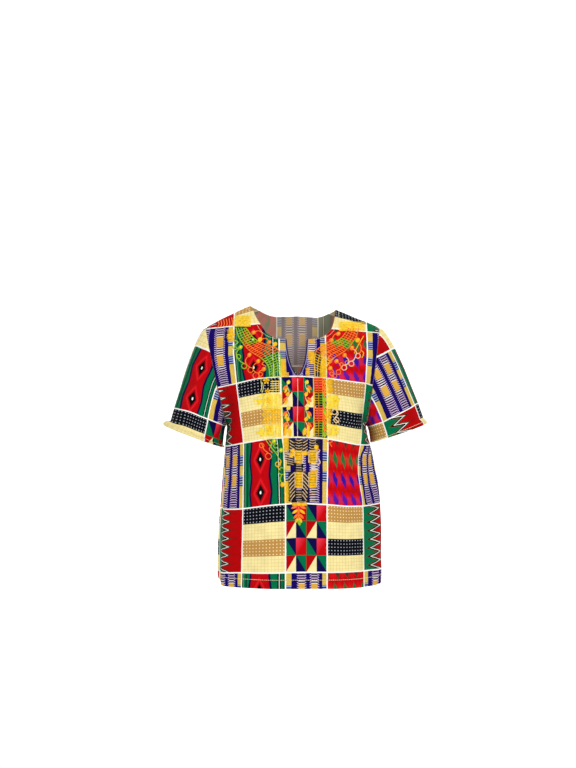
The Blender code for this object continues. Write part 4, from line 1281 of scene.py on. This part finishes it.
# The left of the chest is sewn through its dark band with pale rungs, and through its
# gold ones with sprays of petals, pale stitches that run down, and rows of dots. Pale
# cords lie along the lines of the print.
wash("straw", -44, -29, -145, -124, 0.4, gap=3.7, width=1.5)
for x in (-40.5, -35.5, -31):
    cord("gold", [(x, -124), (x + 0.4, -134), (x + 0.8, -145)], 1.1)
for x, low, high in ((-60, -143, -125), (-57.5, -145, -128)):
    cord("straw", [(x, high), (x + 1.6, (low + high) / 2), (x, low)], 1.2)
for x, low, high in ((-52, -171, -149), (-39.5, -171, -147), (-32.5, -171, -150),
                     (-53, -215, -199), (-38.5, -215, -197), (-33, -216, -200)):
    cord("straw", [(x, high), (x + 0.5, (low + high) / 2), (x + 0.2, low)], 2.6)
for start, end in (
    ((-57, -158.5), (-72.5, -156.5)), ((-57, -160.5), (-68, -164)), ((-59, -152), (-64, -149)),
    ((-53, -211), (-68, -210)), ((-54, -207), (-63, -204)), ((-53, -213), (-62, -215.5)),
):
    leaf("lemon", start, end, 5.4)
for x in np.arange(-53, -28, 4.6):
    for z in np.arange(-193.5, -174, 4.4):
        berry("straw", x + 0.3 * math.sin(z), z, 1.9)
cord("straw", [(-28.5, -84), (-27, -119), (-25.5, -165), (-23.6, -217)], 1.7)
cord("straw", [(-23.6, -219), (-21.7, -270), (-19.5, -322)], 1.7)
cord("straw", [(46.4, -60), (46.9, -90), (47.6, -119), (48.4, -165), (49.4, -217)], 1.7)
cord("straw", [(-62, -121.8), (-45, -120), (-27, -118.8)], 1.6)
cord("straw", [(28, -119.2), (46, -120.8), (58, -122.2)], 1.6)
cord("straw", [(-58, -221), (-40, -219), (-20, -217.4), (0, -217), (24, -217.6), (50, -219.6)],
     1.6)

# The middle of the chest has a pale line with a vine at each side of it, in laid cord
# with satin-stitched berries and leaves, and at its right a ladder sewn in two nets
cord("cream", [(0, -122), (0.4, -150), (-0.3, -185), (0, -217)], 1.2)
for side, x in ((-1, -15.5), (1, 14.5)):
    vine = [(x + 1.6 * (-1) ** n, -124 - 9.5 * n) for n in range(11)]
    cord("cream", vine, 1.3)
    for n, z in enumerate((-128, -147.5, -170, -188)):
        berry("gold" if n % 2 else "lemon", x + 0.6 * (-1) ** n, z, 6.8)
        leaf("orange", (x + side * 2, z - 5), (x + side * 8, z - 13), 5.4)
        leaf("gold", (x + side * 1, z - 9), (x + side * 5.5, z - 17.5), 4.6)
    leaf("gold", (x + 2, -202), (x + 3.5, -217), 7.0)
    leaf("gold", (x - 2, -202), (x - 5, -215), 6.4)
for low, high in ((-167, -145), (-216, -192)):
    wash("black", 26.5, 40, low, high, 0.5, gap=1.5, width=1.5)
for x, second in ((26.5, "gold"), (33.5, "lime")):
    inner, outer = (
        [(edge, -121), (edge + 1, -170), (edge + 0.5, -216)] for edge in (x, x + 7))
    net([(0.25, "orange"), (0.46, second), (0.74, "orange"), (1, second)], inner, outer,
        4.1, 0.0, threads=0)
for n in range(10):
    z = -124 - 9.4 * n
    leaf("orange" if n // 3 % 2 == 0 else "lime", (41.5, z), (44.5, z - 9), 5.0)
    cord("gold", [(43, z + 1), (47, z - 4.5), (43, z - 9)], 1.3)
cord("cream", [(40.5, -121), (41.4, -170), (40.8, -217)], 1.3)
cord("cream", [(25.6, -121), (26.4, -170), (25.8, -217)], 1.2)

# The middle of the belly has two ladders of gold blocks on black washes, with peach ribs
# of laid cord that sweep out and down from them, and a spray of leaves at their foot
for left, right, low, high in (
    (-14, 17, -239, -219.5), (18.5, 29, -238, -221), (30, 37, -236, -221),
    (-5, 9, -273, -260), (-15, -5, -321, -274), (9, 18, -321, -274), (-5, 9, -321, -300),
    (-17, -6, -263, -247),
):
    wash("black", left, right, low, high, 0.6, gap=1.5, width=1.5)
for middle in (1.9, 24.2):
    for low, high in ((-259, -239), (-299, -274)):
        wash("gold", middle - 5.2, middle + 5.2, low, high, 0.5, gap=1.15, width=1.4)
        for z in np.arange(low + 3.6, high - 1, 4.4):
            cord("black", [(middle - 5.4, z), (middle + 5.4, z)], 0.9)
        for x in (middle - 6.3, middle + 6.3):
            cord("cream", [(x, high), (x, low)], 1.3)
    for n in range(5):
        z = -222 - 4.3 * n
        cord("cream", [(middle - 6, z + 1), (middle, z - 1), (middle + 6, z + 1)], 1.5)
    for n in range(3):
        cord("cream", [(middle - 5, -262.5 - 4.2 * n), (middle + 5, -262.5 - 4.2 * n)], 1.5)
    for n in range(5):
        cord("cream", [(middle - 5, -302 - 4.3 * n), (middle + 5, -302 - 4.3 * n)], 1.5)
for side in (-1, 1):
    for n in range(4):
        z = -227 - 5.0 * n
        cord("cream", [(1.6 + side * 6, z), (1.6 + side * 11, z + 2.4), (1.6 + side * 15, z + 5.6)])
    for n in range(7):
        z, reach = -274 - 6.1 * n, 16.5 - 0.5 * n
        cord("cream", [(1.6 + side * 5.5, z), (1.6 + side * reach * 0.66, z - 4.2),
                       (1.6 + side * reach, z - 10.5)], 1.9)
for n in range(5):
    z = -246 - 3.6 * n
    cord("cream", [(-6, z - 1.5), (-12, z - 0.2), (-21, z + 2.2)], 1.4)
for start, end in (
    ((-3, -243), (-14, -250)), ((5, -243), (17, -245)), ((-4, -238), (-12, -240)),
):
    leaf("gold", start, end, 6.2)
wash("gold", -8, 15, -328, -323.5, 1.4, gap=1.3, width=1.4)
for n, (spread, z) in enumerate(((12, -331), (10.5, -338), (8, -345), (5, -351))):
    for side in (-1, 1):
        leaf("orange" if n % 2 == 0 else "gold", (1.6 + side * 1.2, z + 3),
             (1.6 + side * spread, z - 2.5 - n), 5.0)
leaf("orange", (1.6, -330), (1.6, -353), 4.2)
leaf("lime", (2.2, -350), (3.2, -361), 6.0)

# The slit's edges: a dark satin stitch about 2 mm wide with a lilac line beside it
for mirror, corners in (
    (-1, [(-18.7, -58), (-16.9, -76), (-12.9, -95), (-7.1, -108.8), (-3.2, -114.6), (0.4, -116.8)]),
    (1, [(16.1, -58), (14.8, -76), (11.7, -95), (6.7, -108.8), (3.2, -114.6), (0.4, -116.8)]),
):
    cord("navy", corners, 2.2)
    cord("lilac", [(x + mirror * 1.7, z - 0.4) for x, z in corners[:-1]], 1.3)


def thread_material(name, colour):
    """Shiny rayon thread: a soft lengthways shine, and the lie of the separate strands, in bumps
    and in painted highlight and shade along them.
    """
    material, shader = new_material(name)
    place = node("UVMap", uv_map="thread")
    along, across = (node("SeparateXYZ", place, out=n) for n in (0, 1))
    # strands 0.7 mm apart, twice as coarse as the real ones so that they show, on patches
    # of stronger and weaker colour about 4 mm wide
    strand_gap, patch_size = 0.0007, 0.00385
    twist = node("Math", "MULTIPLY_ADD", across, 0.5, along)
    strand = node("Math", "SINE", node("Math", "MULTIPLY", twist, 2 * math.pi / strand_gap))
    patch = node("TexNoise", node("TexCoord", out=3), Scale=1 / patch_size, Detail=3.0)
    shade = node("MapRange", patch, 0.3, 0.7, 0.78, 1.12)
    # painted highlight and shade: each strand's crown is a little lighter and the gap beside it a
    # little darker
    shade = node("Math", "MULTIPLY_ADD", strand, 0.07, shade)
    colour = node("MixRGB", "MULTIPLY", 1.0, colour, node("CombineColor", shade, shade, shade))
    set_up(shader, {
        "Base Color": colour,
        "Normal": node("Bump", Height=strand, Strength=0.5, Distance=0.00015),
        "Roughness": node("MapRange", patch, 0.3, 0.7, 0.34, 0.5),
        "Specular IOR Level": 0.2,
    })
    return material


def thread_piece(name, colour):
    """Turns everything sewn in one colour into one piece."""
    points, faces, places = sewn[colour]
    mesh = bpy.data.meshes.new(name)
    mesh.from_pydata(np.concatenate(points).tolist(), [], faces)
    layer = mesh.uv_layers.new(name="thread")
    corners = np.empty(len(mesh.loops), np.int32)
    mesh.loops.foreach_get("vertex_index", corners)
    layer.data.foreach_set("uv", np.concatenate(places)[corners].astype(np.float32).ravel())
    mesh.shade_smooth()
    mesh.materials.append(thread_material(name, (THREADS | TOPSTITCH)[colour]))
    obj = bpy.data.objects.new(name, mesh)
    bpy.context.scene.collection.objects.link(obj)
    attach(obj, "root")
    sewn[colour] = ([], [], [])
    return obj


embroidery = [thread_piece("embroidery_" + colour, colour) for colour in THREADS]

# The topstitching: lines of ecru stitches along the hems, cuffs and neck -----------
# Each line holds down a turned edge, in plain sewing thread. With it each piece of cloth is whole.

STITCH, STITCH_STEP = 0.0026, 0.0034
FIRST_STITCH = 0.002
STITCH_HALF_WIDTHS = np.array([0.00035, 0.0005, 0.0005, 0.00035])
STITCH_RISE = 0.0004
# How far in the stitches are: the share of the body hem's depth, the share of the way
# from the neck to the side, and the distance from the cuff's edge
HEM_STITCHED, NECK_STITCHED, CUFF_STITCHED = 0.9, 0.07, 0.0125


def run_of_stitches(surface, line):
    """Sews stitches along a line of points, each pulled onto the cloth."""
    gone = distance_along(line)
    for start in np.arange(FIRST_STITCH, gone[-1] - 2 * FIRST_STITCH, STITCH_STEP):
        ends = np.linspace(start, start + STITCH, 4)
        points = np.stack([np.interp(ends, gone, line[:, axis]) for axis in range(3)], axis=-1)
        found = [surface.find_nearest(Vector(point)) for point in points]
        points, normals = (np.array([f[n] for f in found]) for n in (0, 1))
        sew("ecru", points, normals, STITCH_HALF_WIDTHS, STITCH_RISE)


for piece, is_front, area, others in ((front, True, 0.150, embroidery), (back, False, 0.155, [])):
    surface = surface_of(piece)
    step = 1 if is_front else -1
    hem = AT["front_hem" if is_front else "back_hem"]
    a_row = abs(PLACES[hem + step] - PLACES[hem])
    folds = FRONT_FOLDS if is_front else BACK_FOLDS
    share = np.linspace(0, 0.985, 90)
    for side in ("left", "right"):
        row = np.full(len(share), hem + step * HEM_STITCHED * BODY_HEM / a_row)
        run_of_stitches(surface, folded_body(side, share, row, folds)[0])
        inner, outer, joined = panel_rows(side, is_front)
        first = joined + 3 if is_front else joined - 1
        edge = finer(inner[first:], {0})
        edge += (finer(outer[first:], {0}) - edge) * NECK_STITCHED
        run_of_stitches(surface, folded_body(side, edge[:, 0], edge[:, 1], folds)[0])
    stitches = thread_piece(f"topstitching_{'front' if is_front else 'back'}", "ecru")
for side, piece in sleeves.items():
    angles = np.linspace(-88, 268, 160)
    share = np.full(len(angles), 1 - CUFF_STITCHED / SLEEVE_LENGTH)
    run_of_stitches(surface_of(piece), sleeve_points(side, angles, share))
    stitches = thread_piece(f"topstitching_sleeve_{side}", "ecru")

# The studio: a pale floor that sweeps up behind, and soft light ---------------------
# A painted board, level for 2.4 m behind the shirt and then bent up in a quarter circle,
# lit from two sides and above, with two lamps for its back.

FLOOR_WIDE, FLOOR_LONG, FLOOR_MIDDLE_Y, FLOOR_Z = 12, 13, 3.5, -0.86
SWEEP_FROM, SWEEP_RADIUS = 2.4, 1.2
bpy.ops.mesh.primitive_grid_add(x_subdivisions=4, y_subdivisions=90, size=1)
floor = bpy.context.object
floor.name = "studio_floor"
for vertex in floor.data.vertices:
    y = vertex.co.y * FLOOR_LONG + FLOOR_MIDDLE_Y
    along = max(0.0, y - SWEEP_FROM)
    bend = min(along / SWEEP_RADIUS, math.pi / 2)
    rise = SWEEP_RADIUS * (1 - math.cos(bend)) + along - bend * SWEEP_RADIUS
    y = min(y, SWEEP_FROM) + SWEEP_RADIUS * math.sin(bend)
    vertex.co = (vertex.co.x * FLOOR_WIDE, y, FLOOR_Z + rise)
floor.data.shade_smooth()
paint, shader = new_material("studio_paint")
mottle = node("MixRGB", node("TexNoise", Scale=3.0), "#F6F6F5", "#FAFAF9")
set_up(shader, {"Base Color": mottle, "Roughness": 0.9})
floor.data.materials.append(paint)
floor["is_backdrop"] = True
bpy.context.scene.view_settings.view_transform = "Standard"

world = bpy.data.worlds.new("studio")
world.use_nodes = True
world.node_tree.nodes["Background"].inputs["Color"].default_value = (1, 1, 1, 1)
world.node_tree.nodes["Background"].inputs["Strength"].default_value = 0.20
bpy.context.scene.world = world
SHIRT_MIDDLE = (0, 0, -0.22)
# Name, place, what it faces, its size in metres and its power in watts
for name, place, aim, size, power in (
    ("key", (1.0, -2.2, 0.9), SHIRT_MIDDLE, 0.9, 41),
    ("fill", (-1.7, -1.9, 0.6), SHIRT_MIDDLE, 1.6, 21.5),
    ("top", (0.0, 0.5, 1.7), SHIRT_MIDDLE, 1.4, 16),
    ("backdrop_left", (-2.4, 1.9, 0.9), (-0.2, 3.6, -0.1), 1.2, 75),
    ("backdrop_right", (2.4, 1.9, 0.9), (0.2, 3.6, -0.1), 1.2, 75),
):
    light = bpy.data.lights.new(name, "AREA")
    light.energy, light.size = power, size
    lamp = bpy.data.objects.new(name, light)
    lamp.location = place
    lamp.rotation_euler = (Vector(aim) - lamp.location).to_track_quat("-Z", "Y").to_euler()
    bpy.context.scene.collection.objects.link(lamp)

# The camera stands level in front of the shirt, and takes in 768 lines of 1.678 mm
CAMERA_X, CAMERA_AWAY, CAMERA_Z = -0.0161, 2.8, -0.1309
LINES, LINE_HIGH = 768, 0.001678
camera_data = bpy.data.cameras.new("camera")
camera_data.sensor_width = 36.0
camera_data.lens = camera_data.sensor_width * CAMERA_AWAY / (LINES * LINE_HIGH)
camera = bpy.data.objects.new("camera", camera_data)
camera.location = (CAMERA_X, -CAMERA_AWAY, CAMERA_Z)
camera.rotation_euler = (math.radians(90), 0, 0)
bpy.context.scene.collection.objects.link(camera)
bpy.context.scene.camera = camera

low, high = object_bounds()
